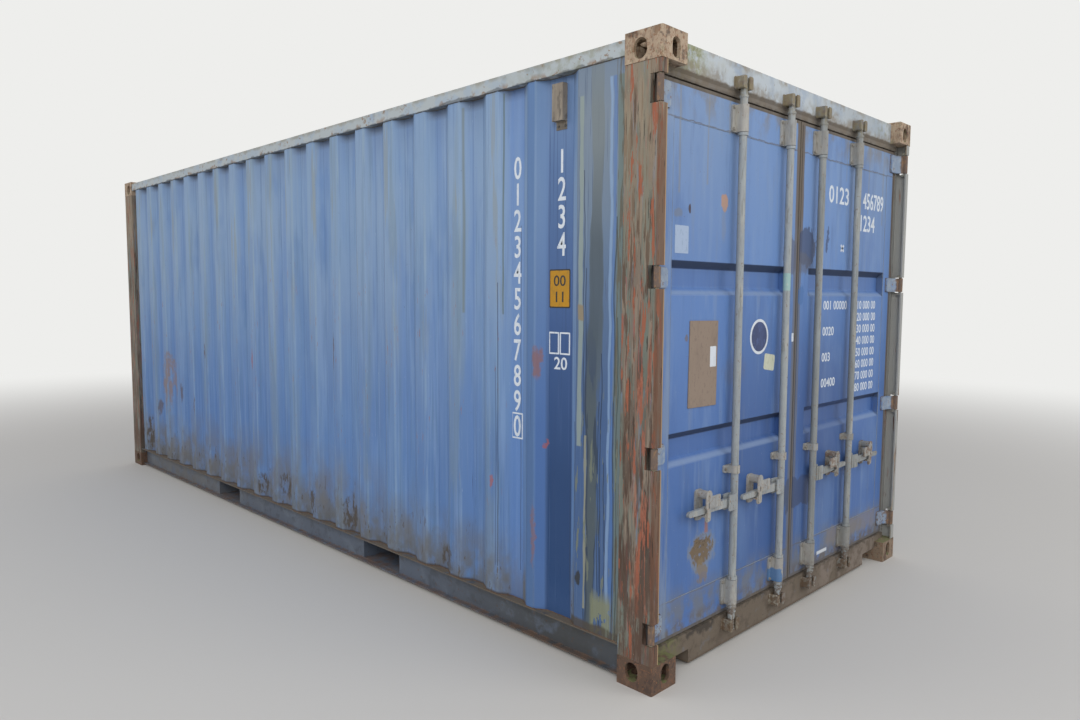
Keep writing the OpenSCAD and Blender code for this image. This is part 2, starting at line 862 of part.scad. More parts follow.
module left_side_wall() {
    color(blue) translate([0, -half_wid + wall_set, rail_top])
        linear_extrude(tube_low - rail_top) sheet_along(wall_line, wall_sheet);
}

// The two walls are the same panel, turned end for end
module right_side_wall() {
    color(blue) rotate([0, 0, 180]) left_side_wall();
}

// The front wall's waves are centred on the width
module front_end_wall() {
    span = width - 2 * cast_wid;
    inner = front_pitch - front_flat - 2 * front_slope;
    count = floor(span / front_pitch);
    start = -count * front_pitch / 2;
    line = concat(
        [[-span / 2, 0]],
        [for (k = [0 : count - 1], p = [
            [front_flat / 2, 0],
            [front_flat / 2 + front_slope, front_depth],
            [front_flat / 2 + front_slope + inner, front_depth],
            [front_flat / 2 + 2 * front_slope + inner, 0]])
            [start + k * front_pitch + p[0], p[1]]],
        [[span / 2, 0]]);
    color(blue) translate([-half_len + front_set, 0, rail_top])
        linear_extrude(tube_low - rail_top) rotate([0, 0, 90]) mirror([0, 1, 0])
        sheet_along(line, wall_sheet);
}

// The roof lies on the tubes and on the header; its troughs are stamped down
roof_x0 = -half_len + tube_set + tube - roof_lap;
roof_x1 = half_len - beam_back_set + roof_lap;
roof_z = tube_top;
roof_span = half_wid - tube_set - tube + roof_lap;
trough_x0 = -half_len + cast_len;
trough_x1 = half_len - cast_len;
trough_side = (trough_top - trough_floor) / 2;
trough_count = floor((trough_x1 - trough_x0 - 2 * roof_sheet) / roof_pitch);

function trough_start(k) = -trough_count * roof_pitch / 2 + (k + 0.5) * roof_pitch - trough_top / 2;

module roof_panel() {
    half_trough = half_wid - tube_set - tube - roof_margin;
    color(blue) difference() {
        union() {
            translate([trough_x0, -roof_span, roof_z])
                cube([trough_x1 - trough_x0, 2 * roof_span, roof_sheet]);
            translate([roof_x0, -half_wid + cast_wid, roof_z])
                cube([roof_x1 - roof_x0, width - 2 * cast_wid, roof_sheet]);
            for (k = [0 : trough_count - 1])
                translate([trough_start(k) - roof_sheet, 0, roof_z])
                    across(half_trough + roof_sheet) polygon([
                        [0, roof_sheet / 2], [trough_top + 2 * roof_sheet, roof_sheet / 2],
                        [trough_top + 2 * roof_sheet - trough_side, -trough_deep],
                        [trough_side, -trough_deep]]);
        }
        for (k = [0 : trough_count - 1])
            translate([trough_start(k), 0, roof_z + roof_sheet])
                across(half_trough) polygon([
                    [0, 0], [0, cut], [trough_top, cut], [trough_top, 0],
                    [trough_top - trough_side, -trough_deep], [trough_side, -trough_deep]]);
    }
}

module roof_corner_plates() {
    color(frame_grey) four_corners()
        translate([trough_x1 - corner_plate_len, roof_span - corner_plate_wid, roof_z + roof_sheet])
            cube([corner_plate_len, corner_plate_wid, corner_plate_thick]);
}

// Hood on the sunk flat at the marked end of the left wall
module vent() {
    x = wall_x1 - plain_flat - mark_slope - mark_flat / 2;
    y = -half_wid + wall_set + wall_depth;
    z1 = tube_low - vent_drop;
    z0 = z1 - vent_high;
    translate([x - vent_wid / 2, y - vent_deep, z0]) union() {
        difference() {
            cube([vent_wid, vent_deep, vent_high]);
            translate([vent_sheet, vent_sheet, vent_sheet])
                cube([vent_wid - 2 * vent_sheet, vent_deep, vent_high - 2 * vent_sheet]);
            for (i = [1 : vent_slots])
                translate([
                    vent_wid * i / (vent_slots + 1) - vent_slot / 2,
                    (vent_deep - vent_slot_deep) / 2,
                    -cut])
                    cube([vent_slot, vent_slot_deep, vent_sheet + 2 * cut]);
        }
        translate([0, vent_deep - vent_sheet, -vent_foot]) cube([vent_wid, vent_sheet, vent_foot + vent_sheet]);
    }
}

module side_vents() {
    color(pale) {
        vent();
        rotate([0, 0, 180]) vent();
    }
}

// Keeper for the bar at distance y from the middle, open towards +X
module keeper(y, z0, high) {
    out = keeper_in + keeper_wall;
    front_x = keeper_x + keeper_lip;
    translate([0, y, z0]) union() {
        translate([face_x, 0, 0]) round_plate(keeper_foot, high, keeper_back, keeper_corner);
        difference() {
            translate([face_x, 0, 0]) round_plate(out, high, front_x - face_x, keeper_corner);
            translate([face_x + keeper_back, -keeper_in, -cut])
                cube([keeper_x - face_x - keeper_back, 2 * keeper_in, high + 2 * cut]);
            translate([keeper_x - cut, -keeper_mouth, -cut])
                cube([keeper_lip + 2 * cut, 2 * keeper_mouth, high + 2 * cut]);
        }
    }
}

module bar_keepers() {
    color(pale) both_sides() for (y = [outer_bar_y, inner_bar_y]) {
        keeper(y, bar_top - keeper_high, keeper_high);
        keeper(y, bar_low, low_keeper_high);
    }
}

// Lugs and pin of the hinge at number i from below, at +Y
module hinge_lug(i) {
    reach = blade_height(i) / 2 + blade_gap;
    x0 = half_len - post_set - lip_thick;
    y1 = half_wid - post_set - post_wall;
    size = knuckle_r + pin_set - post_set - lip_thick;
    depth = knuckle_r + pin_in - post_set - post_wall;
    translate([0, 0, hinge_zs[i]]) union() {
        for (s = [-1, 1])
            translate([x0 - size, y1 - depth, s > 0 ? reach : -reach - lug_thick])
                cube([size, depth, lug_thick]);
        translate([pin_x, pin_y, -reach - lug_thick / 2]) cylinder(h = 2 * reach + lug_thick, r = pin_r);
    }
}

module hinge_lugs() {
    color(pale) both_sides() for (i = [0 : hinge_count - 1]) hinge_lug(i);
}

// Frame of a leaf: two uprights and two channels that open inwards
module door_frame() {
    wide = leaf_out_y - leaf_mid;
    high = leaf_top - leaf_low;
    x0 = leaf_x - leaf_thick;
    win_y = leaf_mid + mid_stile;
    win_wid = wide - mid_stile - hinge_stile;
    difference() {
        translate([x0, leaf_mid, leaf_low]) cube([leaf_thick, wide, high]);
        translate([x0 - cut, win_y, leaf_low + low_rail])
            cube([leaf_thick + 2 * cut, win_wid, high - low_rail - top_rail]);
        translate([x0 - cut, win_y, leaf_low + leaf_plate])
            cube([leaf_thick - leaf_plate + cut, win_wid, low_rail - 2 * leaf_plate]);
        translate([x0 - cut, win_y, leaf_top - top_rail + leaf_plate])
            cube([leaf_thick - leaf_plate + cut, win_wid, top_rail - 2 * leaf_plate]);
    }
}

// Panel of a leaf: a flat sheet with two grooves folded inwards
module door_panel() {
    y0 = leaf_mid + mid_stile;
    wide = leaf_out_y - hinge_stile - y0;
    z0 = leaf_low + low_rail;
    z1 = leaf_top - top_rail;
    line = [
        [z0, 0],
        [groove_low - groove_open / 2, 0],
        [groove_low - groove_open / 2 + groove_slope, groove_deep],
        [groove_low + groove_open / 2 - groove_slope, groove_deep],
        [groove_low + groove_open / 2, 0],
        [groove_high - groove_open / 2, 0],
        [groove_high - groove_open / 2 + groove_slope, groove_deep],
        [groove_high + groove_open / 2 - groove_slope, groove_deep],
        [groove_high + groove_open / 2, 0],
        [z1, 0]];
    translate([panel_x, y0 + wide, 0]) rotate([90, 0, 0]) linear_extrude(wide)
        rotate([0, 0, 90]) sheet_along(line, panel_sheet);
}

// Gasket round a leaf, with a groove between its two lips
module door_gasket() {
    x1 = leaf_x - seal_set;
    x0 = x1 - seal_deep;
    z0 = sill_top + seal_gap;
    z1 = header_low - seal_gap;
    lip = seal_deep / 3;
    groove = (leaf_mid - seal_mid) / 2;
    difference() {
        union() {
            translate([x0, seal_mid, z0]) cube([seal_deep, seal_out_y - seal_mid, z1 - z0]);
            translate([x1 - nose_thick, seal_nose, z0]) cube([nose_thick, leaf_mid - seal_nose, z1 - z0]);
        }
        translate([x0 - cut, leaf_mid, leaf_low])
            cube([seal_deep + 2 * cut, leaf_out_y - leaf_mid, leaf_top - leaf_low]);
        difference() {
            translate([x0 + lip, seal_mid - cut, z0 - cut])
                cube([lip, seal_out_y - seal_mid + 2 * cut, z1 - z0 + 2 * cut]);
            translate([x0, seal_mid + groove, z0 + groove])
                cube([seal_deep, seal_out_y - seal_mid - 2 * groove, z1 - z0 - 2 * groove]);
        }
    }
}

// Cranked blades from the knuckles to the face of the leaf
module blade_plan() {
    face = leaf_x + blade_thick / 2;
    bend_y = leaf_out_y + (pin_y - leaf_out_y) * blade_bend;
    run = [face - pin_x, bend_y - pin_y];
    side = [-run[1], run[0]] / norm(run) * blade_thick / 2;
    difference() {
        union() {
            translate([pin_x, pin_y]) circle(knuckle_r);
            polygon([
                [pin_x, pin_y] + side, [pin_x, pin_y] - side,
                [face, bend_y] - side, [face, bend_y] + side]);
            translate([face, bend_y]) circle(blade_thick / 2);
            translate([leaf_x, leaf_out_y - blade_lap]) square([blade_thick, bend_y - leaf_out_y + blade_lap]);
        }
        translate([pin_x, pin_y]) circle(pin_r + pin_fit);
    }
}

module hinge_blade(high) {
    half = pin_y + knuckle_r - leaf_out_y + blade_lap;
    intersection() {
        linear_extrude(high) blade_plan();
        translate([leaf_x - leaf_thick, leaf_out_y - blade_lap + half, 0])
            round_plate(half, high, leaf_thick + leaf_set, blade_corner);
    }
}

module hinge_blades() {
    for (i = [0 : hinge_count - 1])
        translate([0, 0, hinge_zs[i] - blade_height(i) / 2]) hinge_blade(blade_height(i));
}

// Foot plate and saddle that hold a bar against a face at seat
module bracket(y, z0, high, half, seat) {
    r = bar_r + bar_fit;
    out = r + bracket_wall;
    translate([0, y, z0]) difference() {
        union() {
            translate([seat, 0, 0]) round_plate(half, high, leaf_x + bracket_plate - seat, bracket_corner);
            linear_extrude(high) union() {
                translate([leaf_x, -out]) square([bar_x - leaf_x, 2 * out]);
                translate([bar_x, 0]) circle(out);
            }
        }
        translate([bar_x, 0, -cut]) cylinder(h = high + 2 * cut, r = r);
    }
}

upper_bracket_z = leaf_top - bracket_drop - bracket_high;
lower_bracket_z = leaf_low + bracket_lift;

module bar_brackets() {
    for (y = [outer_bar_y, inner_bar_y]) {
        bracket(y, upper_bracket_z, bracket_high, bracket_half, leaf_x);
        bracket(y, lower_bracket_z, bracket_high, bracket_half, leaf_x);
        bracket(y, guide_z - guide_high / 2, guide_high, guide_half, panel_x);
    }
}

// Half the height of a handle at this distance from its bar
handle_root = pivot_out + 2 * eye_r;
function handle_half(d) =
    handle_high / 2 - (handle_high - handle_tip) / 2 * (d - handle_root) / (handle_reach - handle_root);

// Cradle of a handle: back plate, shelf with a lip and a tab below, ear with the catch pin above
module retainer(y) {
    ear_x = catch_x - catch_thick / 2 - catch_gap;
    shelf_top = handle_z - handle_half(retainer_out - shelf_half) - shelf_gap;
    lip_back = half_len - handle_set + cheek_gap;
    z0 = shelf_top - tab_reach;
    translate([0, y + retainer_out, 0]) union() {
        translate([panel_x, 0, z0])
            round_plate(retainer_half, ear_low + ear_high - z0, leaf_x + retainer_plate - panel_x, ear_half);
        translate([leaf_x, -shelf_half, shelf_top - shelf_thick])
            cube([ear_x - leaf_x, 2 * shelf_half, shelf_thick]);
        translate([lip_back, 0, 0]) difference() {
            translate([0, 0, z0]) round_plate(shelf_half, tab_reach + shelf_lip, ear_x - lip_back, tab_corner);
            translate([-cut, 0, shelf_top - shelf_thick - tab_eye - shelf_thick / 2]) rotate([0, 90, 0])
                cylinder(h = ear_x - lip_back + 2 * cut, r = tab_eye);
        }
        translate([leaf_x, 0, ear_low]) round_plate(ear_half, ear_high, ear_x - leaf_x, ear_half);
        translate([ear_x - cut, 0, catch_pin_z]) rotate([0, 90, 0])
            cylinder(h = catch_gap + catch_thick + catch_set / 2 + cut, r = catch_pin_r);
    }
}

module handle_retainers() {
    for (y = [outer_bar_y, inner_bar_y]) retainer(y);
}

// Profile of a cam, long across the bar
module cam_plan() {
    intersection() {
        circle(cam_reach);
        square([cam_thick, 2 * cam_reach], center = true);
    }
}

// Locking bar at distance y from the middle, with its cams and the handle's hub
module locking_bar(y) {
    low_end = leaf_low;
    top_end = header_low - collar_high / 2;
    translate([bar_x, y, 0]) union() {
        translate([0, 0, low_end]) linear_extrude(top_end - low_end) difference() {
            circle(bar_r);
            circle(bar_r - bar_wall);
        }
        translate([0, 0, low_end - collar_high]) cylinder(h = collar_high, r = collar_r);
        translate([0, 0, top_end]) cylinder(h = collar_high, r = collar_r);
        for (z = [
            upper_bracket_z - ring_gap - ring_high, lower_bracket_z + bracket_high + ring_gap,
            lower_bracket_z - ring_gap - ring_high])
            translate([0, 0, z]) ring();
        translate([0, 0, bar_low]) linear_extrude(low_end - bar_low - collar_high / 2) cam_plan();
        translate([0, 0, top_end + collar_high / 2])
            linear_extrude(bar_top - top_end - collar_high / 2) cam_plan();
        hub();
    }
}

module ring() {
    linear_extrude(ring_high) difference() {
        circle(ring_r);
        circle(bar_r - bar_wall);
    }
}

// Hub welded to the bar: a block beside it, two cheeks and the pin of the handle
module hub() {
    handle_x = handle_mid_x - bar_x;
    cheek_x = handle_thick / 2 + cheek_gap;
    block_x = cheek_x + cheek_thick / 2;
    block_to = pivot_out - eye_r - cheek_gap;
    half = (pivot_out + cheek_half - block_to + cheek_lap) / 2;
    difference() {
        translate([handle_x, 0, handle_z]) union() {
            translate([-block_x, hub_from, -hub_high / 2])
                cube([2 * block_x, block_to - hub_from, hub_high]);
            for (x = [-cheek_x - cheek_thick, cheek_x])
                translate([x, pivot_out + cheek_half - half, -hub_high / 2])
                    round_plate(half, hub_high, cheek_thick, cheek_corner);
            translate([0, pivot_out, 0]) rotate([0, 90, 0])
                cylinder(h = 2 * (cheek_x + cheek_thick + pin_head), r = pivot_r, center = true);
        }
        translate([0, 0, handle_z - hub_high]) cylinder(h = 2 * hub_high, r = bar_r - bar_wall);
    }
}

// Handle of the bar at distance y, in its cradle
module handle(y) {
    tip_r = handle_tip / 2;
    translate([handle_mid_x, y, handle_z]) rotate([0, 90, 0])
        linear_extrude(handle_thick, center = true) difference() {
            union() {
                translate([0, pivot_out]) circle(eye_r);
                polygon([
                    [-eye_r, pivot_out], [eye_r, pivot_out],
                    [handle_high / 2, handle_root], [tip_r, handle_reach - tip_r],
                    [-tip_r, handle_reach - tip_r], [-handle_high / 2, handle_root]]);
                translate([0, handle_reach - tip_r]) circle(tip_r);
            }
            translate([0, pivot_out]) circle(pivot_r + pivot_fit);
        }
}

// Swinging catch that hangs before the handle, with a flap towards the bar
module catch(y) {
    down = catch_pin_z - handle_z + catch_reach;
    flap_from = catch_pin_r + catch_corner;
    translate([catch_x - catch_thick / 2, y + retainer_out, catch_pin_z - down]) difference() {
        union() {
            translate([0, -(flap_reach - catch_half) / 2, down - flap_from / 2 - flap_high])
                round_plate((flap_reach + catch_half) / 2, flap_high, catch_thick, catch_corner);
            round_plate(catch_foot, down, catch_thick, catch_corner);
            translate([0, 0, down - flap_from - flap_high / 2])
                round_plate(catch_half, catch_half + flap_from + flap_high / 2, catch_thick, catch_half);
        }
        translate([-cut, 0, down]) rotate([0, 90, 0])
            cylinder(h = catch_thick + 2 * cut, r = catch_pin_r + catch_fit);
        translate([-cut, 0, down - flap_high - flap_from / 2])
            round_plate(catch_slot, flap_high / 2, catch_thick + 2 * cut, catch_slot);
    }
}

bottom_corner_castings();
top_corner_castings();
rear_corner_posts();
front_corner_posts();
door_header();
door_sill();
front_top_rail();
front_bottom_rail();
top_side_rails();
bottom_side_rails();
cross_members();
fork_pockets();
floor_boards();
left_side_wall();
right_side_wall();
front_end_wall();
roof_panel();
roof_corner_plates();
side_vents();
bar_keepers();
hinge_lugs();
leaf_side(true) color(deep_blue) door_frame();  // left_door_frame
leaf_side(true) color(deep_blue) door_panel();  // left_door_panel
leaf_side(true) color(dark) door_gasket();  // left_door_gasket
leaf_side(true) color(blue) hinge_blades();  // left_hinge_blades
leaf_side(true) color(pale) bar_brackets();  // left_bar_brackets
leaf_side(true) color(pale) handle_retainers();  // left_handle_retainers
leaf_side(false) color(deep_blue) door_frame();  // right_door_frame
leaf_side(false) color(deep_blue) door_panel();  // right_door_panel
leaf_side(false) color(dark) door_gasket();  // right_door_gasket
leaf_side(false) color(blue) hinge_blades();  // right_hinge_blades
leaf_side(false) color(pale) bar_brackets();  // right_bar_brackets
leaf_side(false) color(pale) handle_retainers();  // right_handle_retainers
leaf_side(true) color(pale) locking_bar(outer_bar_y);  // left_outer_bar
leaf_side(true) color(pale) locking_bar(inner_bar_y);  // left_inner_bar
leaf_side(false) color(pale) locking_bar(inner_bar_y);  // right_inner_bar
leaf_side(false) color(pale) locking_bar(outer_bar_y);  // right_outer_bar
leaf_side(true) color(pale) handle(outer_bar_y);  // left_outer_handle
leaf_side(true) color(pale) handle(inner_bar_y);  // left_inner_handle
leaf_side(false) color(pale) handle(inner_bar_y);  // right_inner_handle
leaf_side(false) color(pale) handle(outer_bar_y);  // right_outer_handle
leaf_side(true) color(pale) catch(outer_bar_y);  // left_outer_catch
leaf_side(true) color(pale) catch(inner_bar_y);  // left_inner_catch
leaf_side(false) color(pale) catch(inner_bar_y);  // right_inner_catch
leaf_side(false) color(pale) catch(outer_bar_y);  // right_outer_catch
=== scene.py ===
"""Dresses a twenty foot shipping container: worn paint, rust, bolts, weld beads and plain markings."""

import logging
import math
from collections import Counter
from dataclasses import dataclass
from enum import Enum
from typing import Any, Iterable, NamedTuple, Sequence

import bmesh
import bpy
from mathutils import Matrix, Vector


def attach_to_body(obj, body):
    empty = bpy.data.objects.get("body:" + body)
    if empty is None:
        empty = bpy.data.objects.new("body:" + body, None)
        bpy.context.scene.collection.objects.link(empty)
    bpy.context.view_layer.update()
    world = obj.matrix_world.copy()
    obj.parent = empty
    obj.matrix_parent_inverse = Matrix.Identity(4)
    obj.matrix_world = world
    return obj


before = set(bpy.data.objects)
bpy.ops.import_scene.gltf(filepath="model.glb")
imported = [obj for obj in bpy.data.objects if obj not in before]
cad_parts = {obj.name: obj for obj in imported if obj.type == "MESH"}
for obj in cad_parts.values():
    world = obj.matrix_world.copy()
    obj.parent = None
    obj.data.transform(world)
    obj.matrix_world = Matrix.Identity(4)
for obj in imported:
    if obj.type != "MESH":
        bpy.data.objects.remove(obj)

LOG = logging.getLogger("container")
MM = 0.001
# The outer flats of the long sides, counted from one beyond the far end
FOLD_PITCH = 282.0
FOLD_START = 2021.0 - 27 * FOLD_PITCH
# Each placement of noise lies this far from the last, in metres
NOISE_STEP = (0.37, 0.23, 0.29)
# How far the grain frays the rim of an oval spot, as a share of its size
FRAY = 2.4
Socket = bpy.types.NodeSocket
# A value, a field, a socket or a node
Feed = Any
Span = tuple[float, float]


class Kind(str, Enum):
    """The nodes that the finishes and the repeats are made of."""

    OUTPUT = "ShaderNodeOutputMaterial"
    SHADER = "ShaderNodeBsdfPrincipled"
    COORDINATES = "ShaderNodeTexCoord"
    GEOMETRY = "ShaderNodeNewGeometry"
    VECTOR = "ShaderNodeVectorMath"
    TURN = "ShaderNodeVectorTransform"
    SPLIT = "ShaderNodeSeparateXYZ"
    SPLIT_COLOUR = "ShaderNodeSeparateColor"
    MAPPING = "ShaderNodeMapping"
    MATH = "ShaderNodeMath"
    RANGE = "ShaderNodeMapRange"
    NOISE = "ShaderNodeTexNoise"
    MIX = "ShaderNodeMix"
    BUMP = "ShaderNodeBump"
    LIGHT_PATH = "ShaderNodeLightPath"
    GLOW = "ShaderNodeEmission"
    BLEND = "ShaderNodeMixShader"
    BACKGROUND = "ShaderNodeBackground"
    WORLD_OUTPUT = "ShaderNodeOutputWorld"
    GROUP_IN = "NodeGroupInput"
    GROUP_OUT = "NodeGroupOutput"
    CYLINDER = "GeometryNodeMeshCylinder"
    MOVE = "GeometryNodeTransform"
    JOIN = "GeometryNodeJoinGeometry"
    SCATTER = "GeometryNodeInstanceOnPoints"
    REALIZE = "GeometryNodeRealizeInstances"
    MATERIAL = "GeometryNodeSetMaterial"
    TO_CURVE = "GeometryNodeMeshToCurve"
    RESAMPLE = "GeometryNodeResampleCurve"
    SHIFT = "GeometryNodeSetPosition"
    CIRCLE = "GeometryNodeCurvePrimitiveCircle"
    SWEEP = "GeometryNodeCurveToMesh"
    SMOOTH = "GeometryNodeSetShadeSmooth"
    COMBINE = "ShaderNodeCombineXYZ"
    RANDOM = "FunctionNodeRandomValue"


class Easing(Enum):
    """How a mask goes from bare to covered."""

    EVEN = "LINEAR"
    SOFT = "SMOOTHSTEP"


class Facing(Enum):
    """The way a face of the container looks, as the angle from the left side in degrees."""

    LEFT_SIDE = 0
    DOOR_END = 90
    RIGHT_SIDE = 180

    def turn(self) -> Matrix:
        """Gives the matrix from (across, up, out) to the part's frame."""
        return Matrix.Rotation(math.radians(self.value), 4, "Z") @ Matrix.Rotation(math.pi / 2, 4, "X")


def linear(code: str) -> tuple[float, float, float, float]:
    """Turns an sRGB hex colour into linear RGBA.

    Args:
        code: A colour such as "#6f8cb4".

    Returns:
        The linear colour with alpha 1.
    """
    channels = [int(code[i:i + 2], 16) / 255 for i in (1, 3, 5)]
    return (*[c / 12.92 if c <= 0.04045 else ((c + 0.055) / 1.055) ** 2.4 for c in channels], 1.0)


def feed(node: bpy.types.Node, feeds: dict) -> None:
    """Feeds inputs of a node.

    Args:
        node: The node.
        feeds: Input name or number to a value, a field, a socket or a node, whose first output is used.
    """
    for key, value in feeds.items():
        if isinstance(value, bpy.types.Node):
            value = value.outputs[0]
        if isinstance(value, Field):
            value = value.socket
        if isinstance(value, Socket):
            node.id_data.links.new(value, node.inputs[key])
        else:
            node.inputs[key].default_value = value


def add(tree: bpy.types.NodeTree, kind: Kind, feeds: dict | None = None, **settings: Any) -> bpy.types.Node:
    """Adds one node to a tree, sets it and feeds its inputs.

    Args:
        tree: The tree that gets the node.
        kind: Which node it is.
        feeds: What its inputs get, as in feed().
        **settings: Properties of the node.

    Returns:
        The new node.
    """
    node = tree.nodes.new(kind.value)
    for key, value in settings.items():
        setattr(node, key, value)
    feed(node, feeds or {})
    return node


def cleared(owner: bpy.types.Material | bpy.types.World) -> bpy.types.NodeTree:
    """Empties the tree of a material or a world.

    Args:
        owner: The material or the world.

    Returns:
        Its tree, with no nodes in it.
    """
    owner.use_nodes = True
    owner.node_tree.nodes.clear()
    return owner.node_tree


class Field:
    """A value that varies over a surface: a coordinate in metres, or a mask from 0 to 1."""

    def __init__(self, socket: Socket) -> None:
        """Wraps the socket that gives the value."""
        self.socket = socket

    def math(self, operation: str, *others: Feed, **settings: Any) -> "Field":
        """Gives the result of a sum that starts with this value.

        Args:
            operation: The sum, as a Math node names it.
            *others: Its other terms.
            **settings: Other properties of the node.

        Returns:
            The result.
        """
        feeds = dict(enumerate((self, *others)))
        return Field(add(self.socket.id_data, Kind.MATH, feeds, operation=operation, **settings).outputs[0])

    def __mul__(self, other: "Field") -> "Field":
        """Gives the mask of what lies in both masks."""
        return self.math("MULTIPLY", other)

    def __invert__(self) -> "Field":
        """Gives the mask of what lies outside this one."""
        return self.math("MULTIPLY_ADD", -1.0, 1.0)

    def __abs__(self) -> "Field":
        """Gives the value without its sign."""
        return self.math("ABSOLUTE")

    def rise(self, low: float, high: float, easing: Easing = Easing.EVEN) -> "Field":
        """Gives a mask that goes from 0 to 1 as the value changes.

        Args:
            low: The value at which it is 0.
            high: The value at which it is 1.
            easing: How it goes from one to the other.

        Returns:
            The mask.
        """
        feeds = {0: self, 1: low, 2: high}
        return Field(add(self.socket.id_data, Kind.RANGE, feeds, interpolation_type=easing.value).outputs[0])

    def span(self, low: float, high: float, soft: float = 5.0) -> "Field":
        """Gives the mask of a stretch along this coordinate.

        Args:
            low: Start of the stretch in mm.
            high: End of the stretch in mm.
            soft: Half the width of its soft ends in mm.

        Returns:
            The mask.
        """
        start = self.rise((low - soft) * MM, (low + soft) * MM)
        return start * self.rise((high + soft) * MM, (high - soft) * MM)


@dataclass(frozen=True)
class Finish:
    """How a real surface treats light before any wear, under the trade's name for it."""

    name: str
    colour: str
    roughness: float
    ior: float = 1.5


# Sprayed alkyd paint chalks in the sun: it turns pale and nearly matt, and dirt runs down it
ALKYD_BLUE = Finish("alkyd_paint_blue", "#6a87b0", 0.6, ior=1.48)
ALKYD_DEEP_BLUE = Finish("alkyd_paint_deep_blue", "#587bb2", 0.52, ior=1.48)
# One thin coat over steel
ALKYD_THIN = Finish("alkyd_paint_thin_blue", "#8291a4", 0.58, ior=1.48)
# Rolled over old coats, so it looks dull and grey brown where it has peeled
CHLORINATED_PRIMER = Finish("rubber_primer_grey", "#766b5f", 0.78)
# Weathering steel rusts to a tight matt brown
WEATHERED_STEEL = Finish("weathering_steel_rust", "#574234", 0.88, ior=1.6)
# Header and sill carry a paler, dirtier coat
ALKYD_PALE_GREY = Finish("alkyd_paint_pale_grey", "#b2babf", 0.62, ior=1.48)
ALKYD_DUSTY = Finish("alkyd_paint_dusty", "#685d50", 0.85, ior=1.48)
# Bitumen brushed on the underframe: dark blue grey, slightly shiny where it is new
BITUMEN_COATING = Finish("bitumen_coating", "#535c6a", 0.6, ior=1.55)
# Hot dip zinc, overpainted once: pale warm grey with a soft sheen
ZINC_COAT = Finish("galvanised_steel", "#989d9d", 0.5)
# Forged steel under the same coat, dusty and stained by its own rust
ZINC_BRACKET = Finish("galvanised_forging", "#a19e97", 0.58)
ZINC_KEEPER = Finish("galvanised_keeper", "#7d7462", 0.65)
# Yellow passivated zinc, faded to dull straw
ZINC_YELLOW = Finish("zinc_chromate_yellow", "#a29b83", 0.55)
# Extruded EPDM rubber, once black, now brown with dust
EPDM_RUBBER = Finish("epdm_rubber", "#5c544b", 0.75)
# Keruing plywood, scuffed by cargo
KERUING_PLYWOOD = Finish("keruing_plywood", "#7d5c3e", 0.7)
# Cut vinyl film and marking paint, dulled but still even
MARKING_WHITE = Finish("marking_film_white", "#d3d9df", 0.45, ior=1.46)
MARKING_YELLOW = Finish("marking_film_yellow", "#b5820c", 0.6, ior=1.46)
MARKING_BLACK = Finish("marking_film_black", "#23231f", 0.5, ior=1.46)
MARKING_BLUE = Finish("marking_film_blue", "#2b3a63", 0.4, ior=1.46)
# Paper labels bleach and fray
PAPER_CREAM = Finish("paper_label_cream", "#c0c2ae", 0.75)
PAPER_FADED = Finish("paper_label_faded", "#9fb0c8", 0.75)
# Stretched vinyl is smooth and a little shiny
VINYL_TAPE = Finish("vinyl_tape_pale", "#93b3ae", 0.5, ior=1.46)
# Hardboard is brown, fibrous and matt
HARDBOARD = Finish("hardboard", "#8b7b6d", 0.85)
# Moulded ABS hood, painted over
ABS_OVERPAINTED = Finish("abs_plastic_overpainted", "#7f7568", 0.62)
# Drawn and headed steel, its zinc gone dark and dull
BLACK_RIVET = Finish("steel_rivet", "#4b4844", 0.6)
ZINC_BOLT = Finish("zinc_bolt", "#8a857b", 0.5)
# Rolled strip in one even coat of paint
PAINTED_STRIP = Finish("painted_steel_strip", "#7f8a96", 0.55)


class Place(NamedTuple):
    """Coordinates along the length, the width and the height, in metres."""

    x: Field
    y: Field
    z: Field

    @property
    def side(self) -> tuple[Field, Field]:
        """Gives the coordinates across and up on a long side."""
        return self.x, self.z

    @property
    def end(self) -> tuple[Field, Field]:
        """Gives the coordinates across and up on the door end."""
        return self.y, self.z


